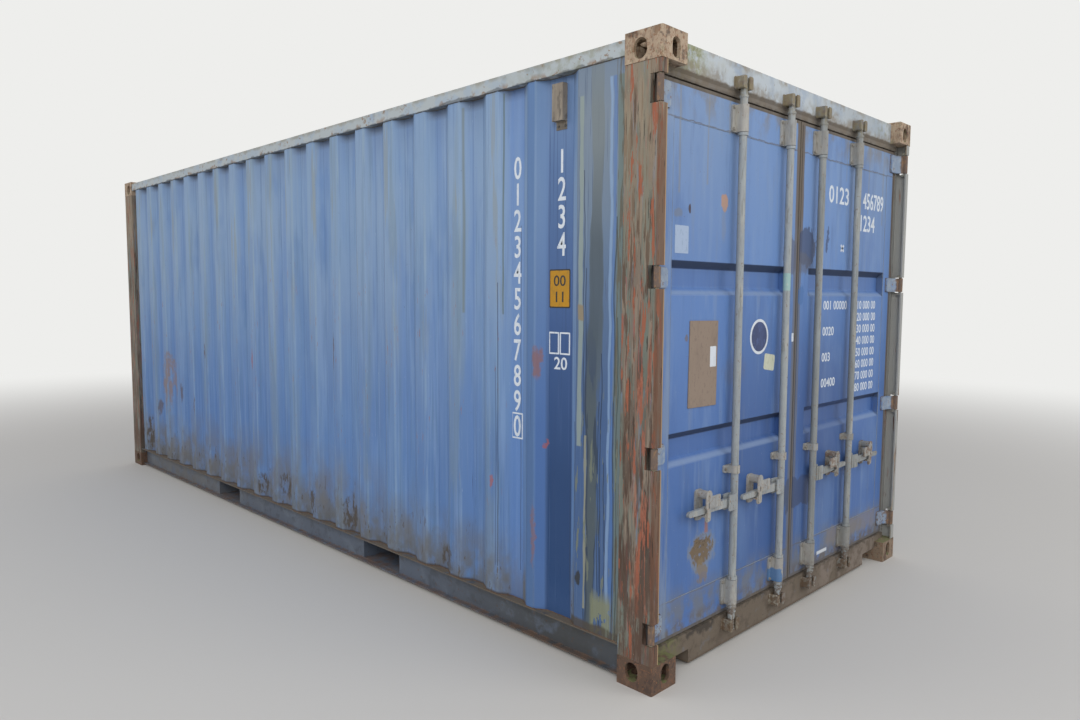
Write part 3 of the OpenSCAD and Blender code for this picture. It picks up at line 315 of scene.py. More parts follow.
class Surface:
    """A surface in the making: layers of colour laid over each other by masks."""

    def __init__(self, base: Finish, label: str = "", seed: int = 0, turned: bool = False) -> None:
        """Starts a material from its clean finish.

        Args:
            base: The clean finish.
            label: Added to the material's name.
            seed: Where in the noise its patterns are taken.
            turned: True on the half that is the other one turned end for end.
        """
        self.material = bpy.data.materials.new(f"{base.name}{label}")
        self.tree = cleared(self.material)
        self.shader = add(self.tree, Kind.SHADER, {"IOR": base.ior})
        add(self.tree, Kind.OUTPUT, {"Surface": self.shader})
        self.sign = -1.0 if turned else 1.0
        self.point = add(self.tree, Kind.COORDINATES).outputs["Object"]
        x, y, z = (Field(way) for way in add(self.tree, Kind.SPLIT, {0: self.point}).outputs)
        if turned:
            x, y = (along.math("MULTIPLY", -1.0) for along in (x, y))
        self.here = Place(x, y, z)
        self.colour: Feed = linear(base.colour)
        self.rough: Feed = base.roughness
        self.height: Feed = 0.0
        self.grain: Field | None = None
        self.seed = seed
        # Noises of one stretch share a placement, and one of the same size gets the next
        self.used: Counter = Counter()
        self.drawn: dict[tuple[float, int], bpy.types.Node] = {}

    def noise(self, size: float, stretch: float, detail: float) -> bpy.types.Node:
        """Adds noise at a spot of its own.

        Args:
            size: Size of its blotches in mm.
            stretch: How many times they are drawn out along Z.
            detail: Octaves of finer noise on top.

        Returns:
            The noise node, with a value and a colour.
        """
        place = (stretch, self.used[size, stretch])
        self.used[size, stretch] += 1
        if place not in self.drawn:
            start = [(self.seed + len(self.drawn)) * way for way in NOISE_STEP]
            feeds = {0: self.point, 1: (self.sign, self.sign, 1.0 / stretch), 2: start}
            self.drawn[place] = add(self.tree, Kind.VECTOR, feeds, operation="MULTIPLY_ADD")
        return add(self.tree, Kind.NOISE, {
            "Vector": self.drawn[place], "Scale": 1.0 / (size * MM), "Detail": detail, "Roughness": 0.6})

    def clouds(self, size: float, stretch: float = 1.0, detail: float = 4.0) -> Field:
        """Gives the value of noise, with the arguments of noise()."""
        return Field(self.noise(size, stretch, detail).outputs[0])

    def ragged(self, size: float, reach: float, stretch: float = 1.0) -> Place:
        """Gives coordinates pushed about by noise, so that what they bound gets a ragged edge.

        Args:
            size: Size of the notches in mm.
            reach: How far an edge wanders in mm, both ways together.
            stretch: How many times the notches are drawn out along Z.

        Returns:
            The pushed coordinates.
        """
        pushes = add(self.tree, Kind.SPLIT_COLOUR, {0: self.noise(size, stretch, 3.0).outputs[1]}).outputs
        return Place(*(
            Field(push).math("MULTIPLY_ADD", reach * MM, along.math("SUBTRACT", 0.5 * reach * MM))
            for along, push in zip(self.here, pushes)))

    def spots(self, size: float, low: float, high: float, stretch: float = 1.0, detail: float = 4.0) -> Field:
        """Gives a mask of blotches.

        Args:
            size: Their size in mm.
            low: Noise under this is bare.
            high: Noise over this is covered.
            stretch: How many times they are drawn out along Z.
            detail: Octaves of finer noise on top.

        Returns:
            The mask.
        """
        return self.clouds(size, stretch, detail).rise(low, high, Easing.SOFT)

    def blob(self, place: tuple[Field, Field], middle: Span, reach: Span, soft: float) -> Field:
        """Gives the mask of an oval spot, whose rim the material's one grain frays.

        Args:
            place: The coordinates across and up.
            middle: Its middle across and up in mm.
            reach: Half its width and half its height in mm.
            soft: Width of its soft rim, as a share of its size.

        Returns:
            The mask.
        """
        if self.grain is None:
            self.grain = self.clouds(26, 1.6).math("MULTIPLY_ADD", FRAY, -FRAY / 2)
        across, up = (
            along.math("MULTIPLY_ADD", 1 / (half * MM), -at / half)
            for along, at, half in zip(place, middle, reach))
        frayed = up.math("MULTIPLY_ADD", up, across * across).math("ADD", self.grain)
        return frayed.rise(1.0 + soft, 1.0 - soft, Easing.SOFT)

    def blots(self, colour: str, place: tuple[Field, Field], soft: float, amount: float,
              rough: float | None, *ovals: tuple[float, float, float, float]) -> None:
        """Lays a colour on oval spots.

        Args:
            colour: The colour as sRGB hex.
            place: The coordinates across and up.
            soft: Width of their soft rims, as a share of their size.
            amount: How much it covers.
            rough: Roughness of what is laid, or None to leave it.
            *ovals: Middle across and up, half the width and half the height of each, in mm.
        """
        for x, up, wide, high in ovals:
            self.lay(colour, self.blob(place, (x, up), (wide, high), soft), amount, rough)

    def facing(self, axis: int, low: float, high: float) -> Field:
        """Gives the mask of faces that look along an axis.

        Args:
            axis: 0, 1 or 2 for X, Y or Z.
            low: Faces with less of the axis in them are bare.
            high: Faces with more of it are covered.

        Returns:
            The mask.
        """
        normal = add(
            self.tree, Kind.TURN, {0: add(self.tree, Kind.GEOMETRY).outputs["Normal"]}, vector_type="NORMAL",
            convert_from="WORLD", convert_to="OBJECT")
        return Field(add(self.tree, Kind.SPLIT, {0: normal}).outputs[axis]).rise(low, high)

    def lay(self, colour: str, mask: Field, amount: float = 1.0, rough: float | None = None) -> None:
        """Lays a colour over what is there.

        Args:
            colour: The colour as sRGB hex.
            mask: Where it lies.
            amount: How much it covers.
            rough: Roughness of what is laid, or None to leave it.
        """
        cover = mask.math("MULTIPLY", amount, use_clamp=True)
        mixed = add(self.tree, Kind.MIX, {0: cover, 6: self.colour, 7: linear(colour)}, data_type="RGBA")
        self.colour = mixed.outputs[2]
        if rough is not None:
            self.rough = add(self.tree, Kind.MIX, {0: cover, 2: self.rough, 3: rough}).outputs[0]

    def patch(self, colour: str, across: Field, wide: Span, up: Field, high: Span,
              soft: float = 5.0, amount: float = 1.0, rough: float | None = None) -> None:
        """Lays a colour between two places across and two heights.

        Args:
            colour: The colour as sRGB hex.
            across: The coordinate across.
            wide: Start and end across in mm.
            up: The coordinate up.
            high: Foot and top in mm.
            soft: Half the width of its soft edge in mm.
            amount: How much it covers.
            rough: Roughness of what is laid, or None to leave it.
        """
        self.lay(colour, across.span(*wide, soft) * up.span(*high, soft), amount, rough)

    def raise_by(self, mask: Field, depth: float) -> None:
        """Raises the surface.

        Args:
            mask: Where it is raised, or a pattern to follow.
            depth: Height in mm where the mask is 1.
        """
        self.height = mask.math("MULTIPLY_ADD", depth * MM, self.height)

    def done(self) -> bpy.types.Material:
        """Feeds the shader with the layers.

        Returns:
            The material.
        """
        feed(self.shader, {"Base Color": self.colour, "Roughness": self.rough})
        if isinstance(self.height, Field):
            bump = add(self.tree, Kind.BUMP, {"Height": self.height, "Distance": 1.0, "Strength": 1.0})
            feed(self.shader, {"Normal": bump})
        return self.material


def dress(material: bpy.types.Material, *nodes: str) -> None:
    """Gives CAD nodes a material through their objects' material slots.

    Args:
        material: The finish.
        *nodes: Names of the CAD nodes.
    """
    for name in nodes:
        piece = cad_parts[name]
        if not piece.material_slots:
            piece.data.materials.append(material)
        for each in piece.material_slots:
            each.material = material


def marked_flats(s: Surface) -> None:
    """Lays the paint of the flats that carry numbers, which kept more of its colour.

    Args:
        s: The wall in the making.
    """
    x, _, z = s.here
    s.patch("#5a80bb", x, (2158, 2246), z, (100, 2600), 8, 0.45)
    beside = x.span(2286, 2345, 8)
    s.lay("#5072a0", beside, 0.88)
    s.lay("#486691", beside * z.span(0, 1300, 500), 0.7)
    slope = x.span(2349, 2396, 5)
    s.lay("#5c7ba5", slope, 0.8)
    s.lay("#3d639e", slope * z.span(0, 1500, 500), 0.8)
    sunk = x.span(2396, 2548, 8)
    s.lay("#56749f", sunk, 0.9)
    s.lay("#6d87ab", sunk * z.span(2250, 2600, 120), 0.5)
    s.lay("#2a4b80", sunk * z.span(0, 1900, 450), 0.8)
    s.lay("#193c68", sunk * z.span(0, 1150, 350), 0.85)
    s.lay("#233c66", sunk * s.spots(13, 0.54, 0.66, 80, 3), 0.45)
    s.lay("#6582ab", sunk * s.spots(16, 0.6, 0.7, 60, 3), 0.2)
    near = x.span(1750, 2600, 60) * z.span(100, 1500, 200)
    s.lay("#2a3b56", near * s.spots(7, 0.665, 0.695, 140, 3), 0.85)
    line = s.ragged(190, 26, 5)
    s.patch("#55634f", line.x, (2122, 2128), line.z, (1500, 2500), 2.5, 0.75, 0.8)
    s.patch("#2c3e59", line.x, (2098, 2102), line.z, (300, 1650), 1.6, 0.9)
    s.patch("#2c3e59", line.x, (2084, 2087), line.z, (300, 1250), 1.6, 0.8)
    s.patch("#2c3e59", line.x, (2221, 2225), line.z, (300, 1900), 2, 0.8)
    s.patch("#6f776a", line.x, (1834, 1846), line.z, (1500, 2480), 4, 0.6, 0.8)
    rough = s.ragged(40, 60)
    s.blots("#84605c", rough.side, 0.7, 0.8, 0.85, (2352, 1290, 22, 70))
    s.blots("#84605c", rough.side, 0.8, 0.6, 0.85, (2338, 500, 12, 130))
    s.blots("#94565a", rough.side, 0.5, 0.8, 0.85, (2392, 930, 9, 24))
    s.blots("#9a6061", rough.side, 0.5, 0.8, 0.85, (2058, 700, 13, 26))


def drips_beside_post(s: Surface) -> None:
    """Lays the plain flat beside the door post, where paint has run, lifted and been touched up.

    Args:
        s: The wall in the making.
    """
    x, _, z = s.here
    plain = x.span(2594, 2900, 5)
    s.lay("#5a6f88", plain, 0.85)
    s.lay("#7e8993", plain * z.span(2000, 2600, 300), 0.7)
    s.lay("#365584", plain * z.span(0, 1500, 400), 0.8)
    s.lay("#7c8fa3", plain * s.spots(9, 0.56, 0.68, 70, 3), 0.4)
    s.lay("#2e4568", plain * s.spots(7, 0.6, 0.66, 60, 3), 0.5)
    drip = s.ragged(150, 84, 4)
    low = z.span(0, 1350, 250)
    wide = drip.x.span(2670, 2738, 3.5)
    s.lay("#717a7c", wide * z.span(1750, 2600, 250), 0.8, 0.6)
    s.lay("#46525b", wide * z.span(1200, 2000, 200), 0.85, 0.6)
    s.lay("#2d3b4c", drip.x.span(2660, 2716, 2) * low, 0.95, 0.5)
    s.lay("#4e5a60", wide * low * s.spots(60, 0.5, 0.52, 9, 3), 0.8, 0.6)
    thin = s.ragged(130, 44, 4)
    for middle, half, foot, top in ((2741, 2.6, 150, 1350), (2764, 2.0, 150, 900), (2586, 2.4, 150, 1050),
                                    (2652, 2.2, 150, 1700), (2640, 1.8, 900, 2100), (2728, 2.0, 150, 1150)):
        s.patch("#1f2f48", thin.x, (middle - half, middle + half), z, (foot, top), 1.6, 0.9)
    pale = s.ragged(70, 36, 5)
    s.patch("#8e9a94", pale.x, (2608, 2632), z, (950, 2400), 2.5, 0.8, 0.8)
    s.patch("#566a84", pale.x, (2603, 2608), z, (950, 2400), 1.5, 0.75)
    s.patch("#94937c", pale.x, (2648, 2660), z, (250, 1000), 2, 0.75, 0.8)
    s.patch("#8b7a5e", pale.x, (2606, 2634), pale.z, (1482, 1548), 4, 0.8, 0.8)
    s.blots("#2e2f2d", pale.side, 0.25, 0.9, 0.8, (2616, 378, 14, 34))
    s.patch("#86a2c6", pale.x, (2774, 2788), z, (150, 2450), 3, 0.65)
    s.patch("#4d74ae", pale.x, (2790, 2806), z, (150, 2450), 3, 0.6)
    s.patch("#69766e", pale.x, (2812, 2850), z, (150, 2450), 4, 0.8, 0.75)
    s.lay("#5e5545", x.span(2806, 2850, 4) * s.spots(14, 0.52, 0.6, 14), 0.75, 0.85)
    s.patch("#28302d", thin.x, (2806, 2811), z, (150, 1900), 2, 0.85)
    s.patch("#28302d", thin.x, (2824, 2828), z, (150, 1500), 2, 0.8)
    foot = pale.x.span(2690, 2800, 8) * pale.z.span(150, 330, 30)
    s.lay("#7d8168", foot * s.spots(40, 0.4, 0.44, 2), 0.9, 0.85)
    s.patch("#4b443a", x, (2560, 2900), pale.z, (150, 196), 6, 0.85, 0.9)
    peeled = z.span(150, 1150, 200)
    s.lay("#6f7669", plain * peeled * s.spots(26, 0.59, 0.605, 8), 0.85, 0.85)


def stained_foot(s: Surface) -> None:
    """Lays the dirt, the rubbed folds and the rust over the rail and on the far flats.

    Args:
        s: The wall in the making.
    """
    z = s.here.z
    torn = s.ragged(80, 120, 3)
    stain = s.blob(torn.side, (-2180, 860), (170, 230), 0.5)
    s.lay("#86736b", stain * s.spots(46, 0.4, 0.54, 3), 0.75, 0.85)
    rough = s.ragged(50, 50, 2)
    s.blots("#5a4b48", rough.side, 0.8, 0.7, 0.85, (-2382, 600, 22, 66), (-1844, 776, 14, 66),
            (-1573, 684, 10, 80), (-1332, 1145, 8, 60), (613, 1240, 9, 95))
    s.blots("#915f5f", rough.side, 0.8, 0.7, 0.85, (-809, 1106, 13, 26), (-496, 1131, 9, 60))
    low = z.span(100, 400, 110)
    s.lay("#66645f", low * s.spots(110, 0.28, 0.66, 1.6), 0.75, 0.85)
    far = s.here.x.span(-3100, 1300, 400) * z.span(100, 520, 160)
    s.lay("#6f6a62", far * s.spots(160, 0.4, 0.62, 2), 0.6, 0.85)
    s.lay("#5f5c52", z.span(100, 250, 60) * s.spots(70, 0.36, 0.6, 1.5), 0.6, 0.88)
    crust = s.spots(26, 0.44, 0.52, 3)
    for x, up, wide, high in ((296, 270, 60, 90), (745, 262, 50, 110), (-64, 300, 70, 80),
                              (-406, 250, 50, 70), (-2665, 330, 45, 150), (1690, 230, 60, 60)):
        s.lay("#4c4338", crust * s.blob(rough.side, (x, up), (wide, high), 0.5), 0.85, 0.9)
    s.lay("#54473a", low * s.spots(22, 0.63, 0.66, 4), 0.8, 0.9)
    s.lay("#443a33", z.span(100, 168, 5), 0.85, 0.9)


def wall_paint(turned: bool, seed: int) -> bpy.types.Material:
    """Makes the faded blue paint of a long side, pale inside.

    Args:
        turned: True for the right side, which is the same panel turned end for end.
        seed: Where in the noise its patterns are taken.

    Returns:
        The material.
    """
    s = Surface(ALKYD_BLUE, "_right_side" if turned else "_left_side", seed, turned)
    x, y, z = s.here
    outer = y.rise(-1180 * MM, -1205 * MM)
    inner = ~outer
    upper = z.span(1600, 2700, 650)
    s.lay("#879fba", upper, 0.9)
    s.lay("#4a71a8", z.span(0, 950, 650), 0.85)
    s.lay("#6c8eb6", s.spots(520, 0.44, 0.6, 2, 3), 0.4)
    s.lay("#5679aa", s.spots(240, 0.52, 0.66, 3, 3), 0.45)
    s.lay("#88a2c4", s.spots(34, 0.48, 0.7, 26), 0.4)
    s.lay("#8ba4c2", s.spots(11, 0.56, 0.7, 70, 3), 0.25)
    s.lay("#50708f", s.spots(28, 0.54, 0.68, 30), 0.4)
    s.lay("#3f5f93", s.spots(9, 0.6, 0.7, 80, 3), 0.3)
    s.lay("#567cb6", inner * s.spots(90, 0.4, 0.6, 14, 3), 0.35)
    # The folds beside the outer flats are rubbed, and dust lies along them; painted shade darkens the crease
    # where each slope meets the inner flat
    fold = x.math("SUBTRACT", FOLD_START * MM).math("MODULO", FOLD_PITCH * MM)
    regular = x.span(-2900, 2112, 3)
    rubbed = regular * fold.span(72, 88, 4) * s.spots(40, 0.42, 0.58, 14)
    s.lay("#93a1a2", rubbed * upper, 0.75, 0.75)
    s.lay("#86a0bd", rubbed, 0.5)
    s.lay("#4c6a97", regular * fold.span(143, 150, 3), 0.35)
    s.lay("#8aa2bb", outer * upper, 0.3)
    s.lay("#788990", outer * s.spots(110, 0.52, 0.62, 13, 3), 0.36, 0.75)
    s.lay("#8d8f80", outer * upper * s.spots(50, 0.57, 0.63, 16, 3), 0.5, 0.8)
    # Painted shade darkens the tops of the inner flats under the roof tube, fading downwards
    s.lay("#454b56", inner * z.span(2474, 2600, 16), 0.6)
    s.lay("#5f7190", inner * z.span(2380, 2600, 90), 0.25)
    band = z.span(600, 1800, 350)
    s.lay("#8f6558", outer * band * s.spots(11, 0.655, 0.69, 9), 0.75, 0.85)
    s.lay("#4c4a4a", s.spots(8, 0.72, 0.74, 3), 0.7)
    s.lay("#9fb0c6", s.spots(5, 0.70, 0.73, 9, 3), 0.5)
    stained_foot(s)
    marked_flats(s)
    drips_beside_post(s)
    # Inside, the sheet has a thin coat of light grey over the same steel
    back = s.facing(1, 0.15 * s.sign, 0.35 * s.sign)
    s.lay("#9c9e9a", back, 0.95, 0.6)
    s.lay("#7b756c", back * s.spots(200, 0.52, 0.66), 0.5, 0.8)
    s.raise_by(s.clouds(420, 1.6, 3), 4.0)
    s.raise_by(s.spots(26, 0.59, 0.605, 8), 0.15)
    return s.done()


def front_wall_paint() -> bpy.types.Material:
    """Makes the faded blue paint of the front wall, scuffed by handling.

    Returns:
        The material.
    """
    s = Surface(ALKYD_BLUE, "_front", 40)
    z = s.here.z
    s.lay("#7d96b4", z.span(1500, 2700, 700), 0.7)
    s.lay("#7791b5", s.spots(600, 0.42, 0.6, 2.5, 3), 0.5)
    s.lay("#8aa2c2", s.spots(16, 0.46, 0.66, 70), 0.5)
    s.lay("#858a8b", s.spots(80, 0.54, 0.7, 18), 0.5, 0.75)
    s.lay("#8f6558", s.spots(16, 0.65, 0.68, 5), 0.7, 0.85)
    s.lay("#54473a", z.span(100, 420, 110) * s.spots(26, 0.57, 0.62, 3), 0.85, 0.9)
    s.lay("#463c35", z.span(100, 166, 4), 0.85, 0.9)
    s.raise_by(s.clouds(380, 1.5, 3), 3.0)
    return s.done()


def post_paint(front: bool) -> bpy.types.Material:
    """Makes the paint of corner posts: old coats peeled in streaks down to primer and rust.

    Args:
        front: True for the two posts of the front end.

    Returns:
        The material.
    """
    s = Surface(CHLORINATED_PRIMER, "_front_posts" if front else "_door_posts", 60 if front else 50)
    x, y, z = s.here
    s.lay("#68736a", s.spots(42, 0.46, 0.55, 12), 0.8)
    s.lay("#8b7d6d", s.spots(20, 0.52, 0.58, 14), 0.75)
    s.lay("#6b7b90", s.spots(22, 0.6, 0.635, 16), 0.6, 0.6)
    s.lay("#594538", s.spots(17, 0.54, 0.58, 14), 0.85, 0.9)
    s.lay("#8e5f5a", s.spots(15, 0.61, 0.64, 16), 0.75, 0.8)
    s.lay("#97866f", z.span(2000, 2600, 350) * s.spots(70, 0.34, 0.56, 5), 0.7)
    s.lay("#463329", z.span(100, 1100, 300) * s.spots(30, 0.44, 0.54, 9), 0.35 if front else 0.75, 0.9)
    peel = s.spots(22, 0.585, 0.605, 9)
    s.lay("#98583f", peel, 0.6 if front else 0.9, 0.85)
    if not front:
        band = x.span(2930, 3000, 18) * z.span(250, 1500, 200)
        red = band * s.spots(20, 0.53, 0.55, 13)
        s.lay("#975a45", red, 0.85, 0.85)
        s.lay("#b07c66", red * s.spots(7, 0.54, 0.6, 5), 0.5, 0.85)
        s.lay("#6a4a38", x.span(3012, 3040, 3) * s.spots(50, 0.3, 0.45, 9), 0.75, 0.85)
    s.lay("#332a25", s.spots(7, 0.62, 0.65, 24), 0.85, 0.9)
    s.lay("#2f2722", s.spots(14, 0.66, 0.68, 14), 0.85, 0.9)
    s.lay("#b9ae9a", s.spots(4, 0.70, 0.73, 3), 0.7, 0.8)
    s.lay("#574236", z.span(100, 430, 130) * s.spots(44, 0.38, 0.52, 2), 0.75, 0.9)
    if not front:
        # The edge towards the doors gets a painted highlight, and the right post keeps its grey coat
        edge = abs(y)
        s.patch("#b39b74", edge, (1174, 1182), x, (3012, 3040), 2, 0.75, 0.8)
        grey = y.span(1000, 1300, 10) * s.spots(40, 0.66, 0.56, 8)
        s.lay("#9a9b97", grey, 0.95, 0.6)
    s.raise_by(peel, -0.5)
    s.raise_by(s.clouds(9, 2.0), 0.8)
    return s.done()


def casting_steel(top: bool) -> bpy.types.Material:
    """Makes cast steel of the corner fittings, rusted through its paint, with moss where water stands.

    Args:
        top: True for the four upper castings, which are paler.

    Returns:
        The material.
    """
    s = Surface(WEATHERED_STEEL, "_top" if top else "_bottom", 70 if top else 80)
    if top:
        s.lay("#ab967f", s.spots(70, 0.34, 0.5, 1.5), 0.9)
        s.lay("#b8a78f", s.spots(35, 0.5, 0.6, 2), 0.6)
        s.lay("#84684f", s.spots(22, 0.56, 0.62, 2), 0.75)
    else:
        s.lay("#6d5240", s.spots(38, 0.5, 0.6, 1.5), 0.6)
        s.lay("#8b7a66", s.here.y.span(900, 1300, 50) * s.spots(50, 0.34, 0.5), 0.8)
    s.lay("#3d2f29", s.spots(30, 0.55, 0.63, 1.5), 0.7)
    s.lay("#7f5539", s.spots(12, 0.57, 0.63), 0.7)
    s.lay("#8f6a4a", s.facing(0, 0.5, 0.8) * s.spots(9, 0.6, 0.66), 0.6)
    s.lay("#6d7245", s.facing(2, 0.3, 0.9) * s.spots(30, 0.38, 0.52), 0.8, 0.95)
    s.lay("#5d6141", s.spots(26, 0.61, 0.67, 2), 0.5, 0.95)
    s.raise_by(s.clouds(14), 1.6)
    return s.done()


def header_paint() -> bpy.types.Material:
    """Makes the dusty coat of the header, mossy to its left, with a dark lip that is partly dirt and partly
    painted shade.

    Returns:
        The material.
    """
    s = Surface(ALKYD_PALE_GREY, "_header", 90)
    y, z = s.here.y, s.here.z
    s.lay("#8397b1", s.spots(140, 0.46, 0.6), 0.55)
    s.lay("#b2b3aa", s.spots(70, 0.5, 0.66), 0.5)
    s.lay("#9ba3a8", y.span(300, 1300, 300) * s.spots(160, 0.3, 0.5, 1, 3), 0.6)
    rough = s.ragged(110, 150)
    moss = rough.y.span(-1250, -860, 70) * s.spots(34, 0.34, 0.56)
    s.lay("#8f9060", moss, 0.75, 0.95)
    s.lay("#6e7040", moss * rough.z.span(2500, 2600, 25) * s.spots(22, 0.45, 0.6), 0.6, 0.95)
    s.lay("#85866a", y.span(850, 1200, 90) * s.spots(40, 0.45, 0.62), 0.5, 0.9)
    s.lay("#8a7d66", rough.z.span(2574, 2640, 14) * s.spots(60, 0.36, 0.6), 0.65, 0.9)
    s.lay("#847a6a", rough.z.span(2440, 2512, 20) * s.spots(50, 0.34, 0.6), 0.7, 0.9)
    s.lay("#7c6c56", s.spots(14, 0.63, 0.68, 3), 0.6, 0.85)
    # The lip is brown with dirt, and painted shade darkens it further towards the underside
    lip = s.ragged(40, 26)
    s.lay("#6b6052", lip.z.span(2400, 2480, 5), 0.88, 0.85)
    s.lay("#453d35", lip.z.span(2400, 2446, 6) * s.spots(60, 0.4, 0.56), 0.7, 0.85)
    s.raise_by(s.clouds(12), 0.5)
    return s.done()


def sill_paint() -> bpy.types.Material:
    """Makes the scuffed, dusty coat of the sill, green beside the left casting.

    Returns:
        The material.
    """
    s = Surface(ALKYD_DUSTY, "_sill", 100)
    y, z = s.here.y, s.here.z
    s.lay("#83776d", y.span(100, 1200, 300) * s.spots(130, 0.4, 0.6), 0.7)
    s.lay("#6f6458", s.spots(110, 0.5, 0.66), 0.5)
    s.lay("#554a3f", s.spots(60, 0.5, 0.66), 0.6, 0.9)
    s.lay("#6a7078", s.spots(70, 0.6, 0.7), 0.35)
    s.lay("#4a4037", s.spots(12, 0.63, 0.68), 0.6, 0.9)
    s.lay("#6f7345", y.span(-1200, -985, 50) * s.spots(40, 0.38, 0.56), 0.7, 0.95)
    rough = s.ragged(50, 90)
    s.patch("#2c2926", rough.y, (-915, -690), rough.z, (128, 152), 8, 0.75, 0.9)
    s.lay("#443c34", rough.z.span(136, 170, 10) * s.spots(24, 0.42, 0.6), 0.65, 0.9)
    s.lay("#5b4d40", z.span(0, 22, 5), 0.6, 0.9)
    s.raise_by(s.clouds(10), 0.8)
    return s.done()


def roof_tube_paint() -> bpy.types.Material:
    """Makes the pale blue paint of the roof tubes, with brown dirt along their upper edge.

    Returns:
        The material.
    """
    s = Surface(ALKYD_BLUE, "_roof_tubes", 110)
    s.lay("#adb4b4", s.spots(220, 0.2, 0.4), 0.92)
    s.lay("#95a8bb", s.spots(90, 0.5, 0.62), 0.5)
    edge = s.ragged(90, 50)
    s.lay("#8f8a7a", edge.z.span(2560, 2600, 9) * s.spots(60, 0.38, 0.58), 0.7, 0.85)
    s.lay("#84694f", s.spots(34, 0.61, 0.66), 0.75, 0.9)
    s.lay("#8a6f56", edge.z.span(2500, 2534, 8) * s.spots(110, 0.54, 0.6), 0.6, 0.9)
    # Painted shade darkens the lower edge of the tube, where it overhangs the wall
    s.lay("#4b4e52", edge.z.span(2500, 2517, 3), 0.7)
    s.lay("#8b8b72", s.here.x.span(2300, 3100, 250) * s.spots(45, 0.45, 0.62), 0.5, 0.9)
    s.raise_by(s.clouds(180, 1, 3), 2.0)
    return s.done()


def underframe_paint() -> bpy.types.Material:
    """Makes the bitumen coat of the bottom rails, rubbed to rust along the flange edges.

    Returns:
        The material.
    """
    s = Surface(BITUMEN_COATING, "_rails", 120)
    x, _, z = s.here
    s.lay("#66707c", s.spots(170, 0.46, 0.66), 0.6)
    s.lay("#3a3f47", s.spots(60, 0.52, 0.66), 0.5)
    s.lay("#3a3b3a", x.span(1900, 3100, 500) * s.spots(90, 0.26, 0.46), 0.85)
    s.lay("#6a665f", x.span(-3100, -1000, 700) * s.spots(90, 0.34, 0.56), 0.55, 0.8)
    s.lay("#5d5a54", z.span(120, 170, 20) * s.spots(70, 0.42, 0.6), 0.6, 0.85)
    s.lay("#64594b", z.span(150, 170, 2) * s.spots(60, 0.3, 0.5), 0.9, 0.9)
    s.lay("#8a7660", z.span(145, 152, 2) * s.spots(90, 0.44, 0.54), 0.7, 0.9)
    rough = s.ragged(50, 22)
    s.lay("#6f543f", rough.z.span(0, 24, 6) * s.spots(50, 0.38, 0.56), 0.75, 0.9)
    s.lay("#5f4838", s.spots(20, 0.63, 0.68), 0.6, 0.9)
    s.lay("#8b98a8", s.spots(5, 0.70, 0.73), 0.5)
    s.raise_by(s.clouds(16), 0.6)
    return s.done()


def roof_paint() -> bpy.types.Material:
    """Makes the sun bleached paint of the roof sheet, with dirt and rust in its troughs.

    Returns:
        The material.
    """
    s = Surface(ALKYD_BLUE, "_roof", 130)
    s.lay("#8496a8", s.spots(500, 0.36, 0.56), 0.9, 0.7)
    s.lay("#7c776a", s.here.z.span(2500, 2566, 6) * s.spots(160, 0.42, 0.56), 0.8, 0.9)
    s.lay("#75503b", s.spots(90, 0.6, 0.66), 0.85, 0.9)
    s.lay("#9ba097", s.spots(60, 0.6, 0.68), 0.5, 0.85)
    s.raise_by(s.clouds(300, 1, 3), 3.0)
    return s.done()


def left_leaf_stains(s: Surface) -> None:
    """Lays the rust patch, the scuffs and the touched up corners of the left leaf.

    Args:
        s: The leaf in the making.
    """
    s.lay("#8796a8", s.here.y.span(-1140, -1048, 8) * s.spots(40, 0.4, 0.62, 12), 0.55)
    rough = s.ragged(60, 80, 1.4)
    s.blots("#7f8587", rough.end, 0.35, 0.6, 0.8, (-787, 476, 98, 88))
    rust = s.blob(rough.end, (-787, 486), (78, 66), 0.2)
    s.lay("#6f5c40", rust * s.spots(30, 0.32, 0.46, 0.8), 0.9, 0.9)
    s.blots("#7f6f55", rough.end, 0.4, 0.7, 0.9, (-783, 392, 34, 60))
    core = s.blob(rough.end, (-795, 520), (60, 22), 0.6)
    s.lay("#4f4130", core * s.spots(14, 0.45, 0.6, 0.7), 0.6, 0.9)
    drip = s.ragged(40, 26, 3)
    s.patch("#9a6a56", drip.y, (-768, -742), s.here.z, (556, 650), 5, 0.75, 0.9)
    s.blots("#b08a6e", drip.end, 0.2, 0.85, 0.8, (-668, 1988, 30, 36))
    s.blots("#7d8694", drip.end, 0.6, 0.4, None, (-672, 1890, 16, 70))
    s.blots("#4b3c38", drip.end, 0.3, 0.9, 0.9, (-928, 1938, 9, 18))
    s.blots("#6b727c", drip.end, 0.6, 0.6, None, (-1009, 1919, 30, 17))
    s.blots("#6a5b4c", drip.end, 0.4, 0.7, None, (-937, 1412, 8, 14))
    s.blots("#5b5a66", rough.end, 0.9, 0.25, None, (-560, 1250, 90, 60))
    s.blots("#53586a", rough.end, 0.3, 0.75, None, (-66, 1790, 66, 84))
    s.blots("#3f4a62", rough.end, 0.2, 0.85, None, (-30, 594, 48, 84))


def right_leaf_stains(s: Surface) -> None:
    """Lays the dark patches beside the seam of the right leaf.

    Args:
        s: The leaf in the making.
    """
    y, z = s.here.y, s.here.z
    rough = s.ragged(60, 80, 1.4)
    s.blots("#3d4a69", rough.end, 0.2, 0.85, None, (88, 1830, 96, 96))
    s.blots("#575a66", rough.end, 0.5, 0.6, None, (60, 1752, 80, 50))
    s.blots("#2f3f62", rough.end, 0.3, 0.8, None, (318, 1880, 14, 60))
    s.lay("#394767", rough.y.span(-20, 204, 5) * rough.z.span(516, 670, 5), 0.85)
    s.blots("#41699f", rough.end, 0.2, 0.7, None, (44, 1590, 30, 52))
    s.patch("#d3d8dc", y, (312, 428), z, (204, 222), 2, 0.85, 0.7)
    s.patch("#81786f", rough.y, (420, 1060), rough.z, (226, 322), 14, 0.6, 0.85)
    s.lay("#3a5487", y.span(60, 700, 60) * z.span(650, 1250, 140), 0.5)


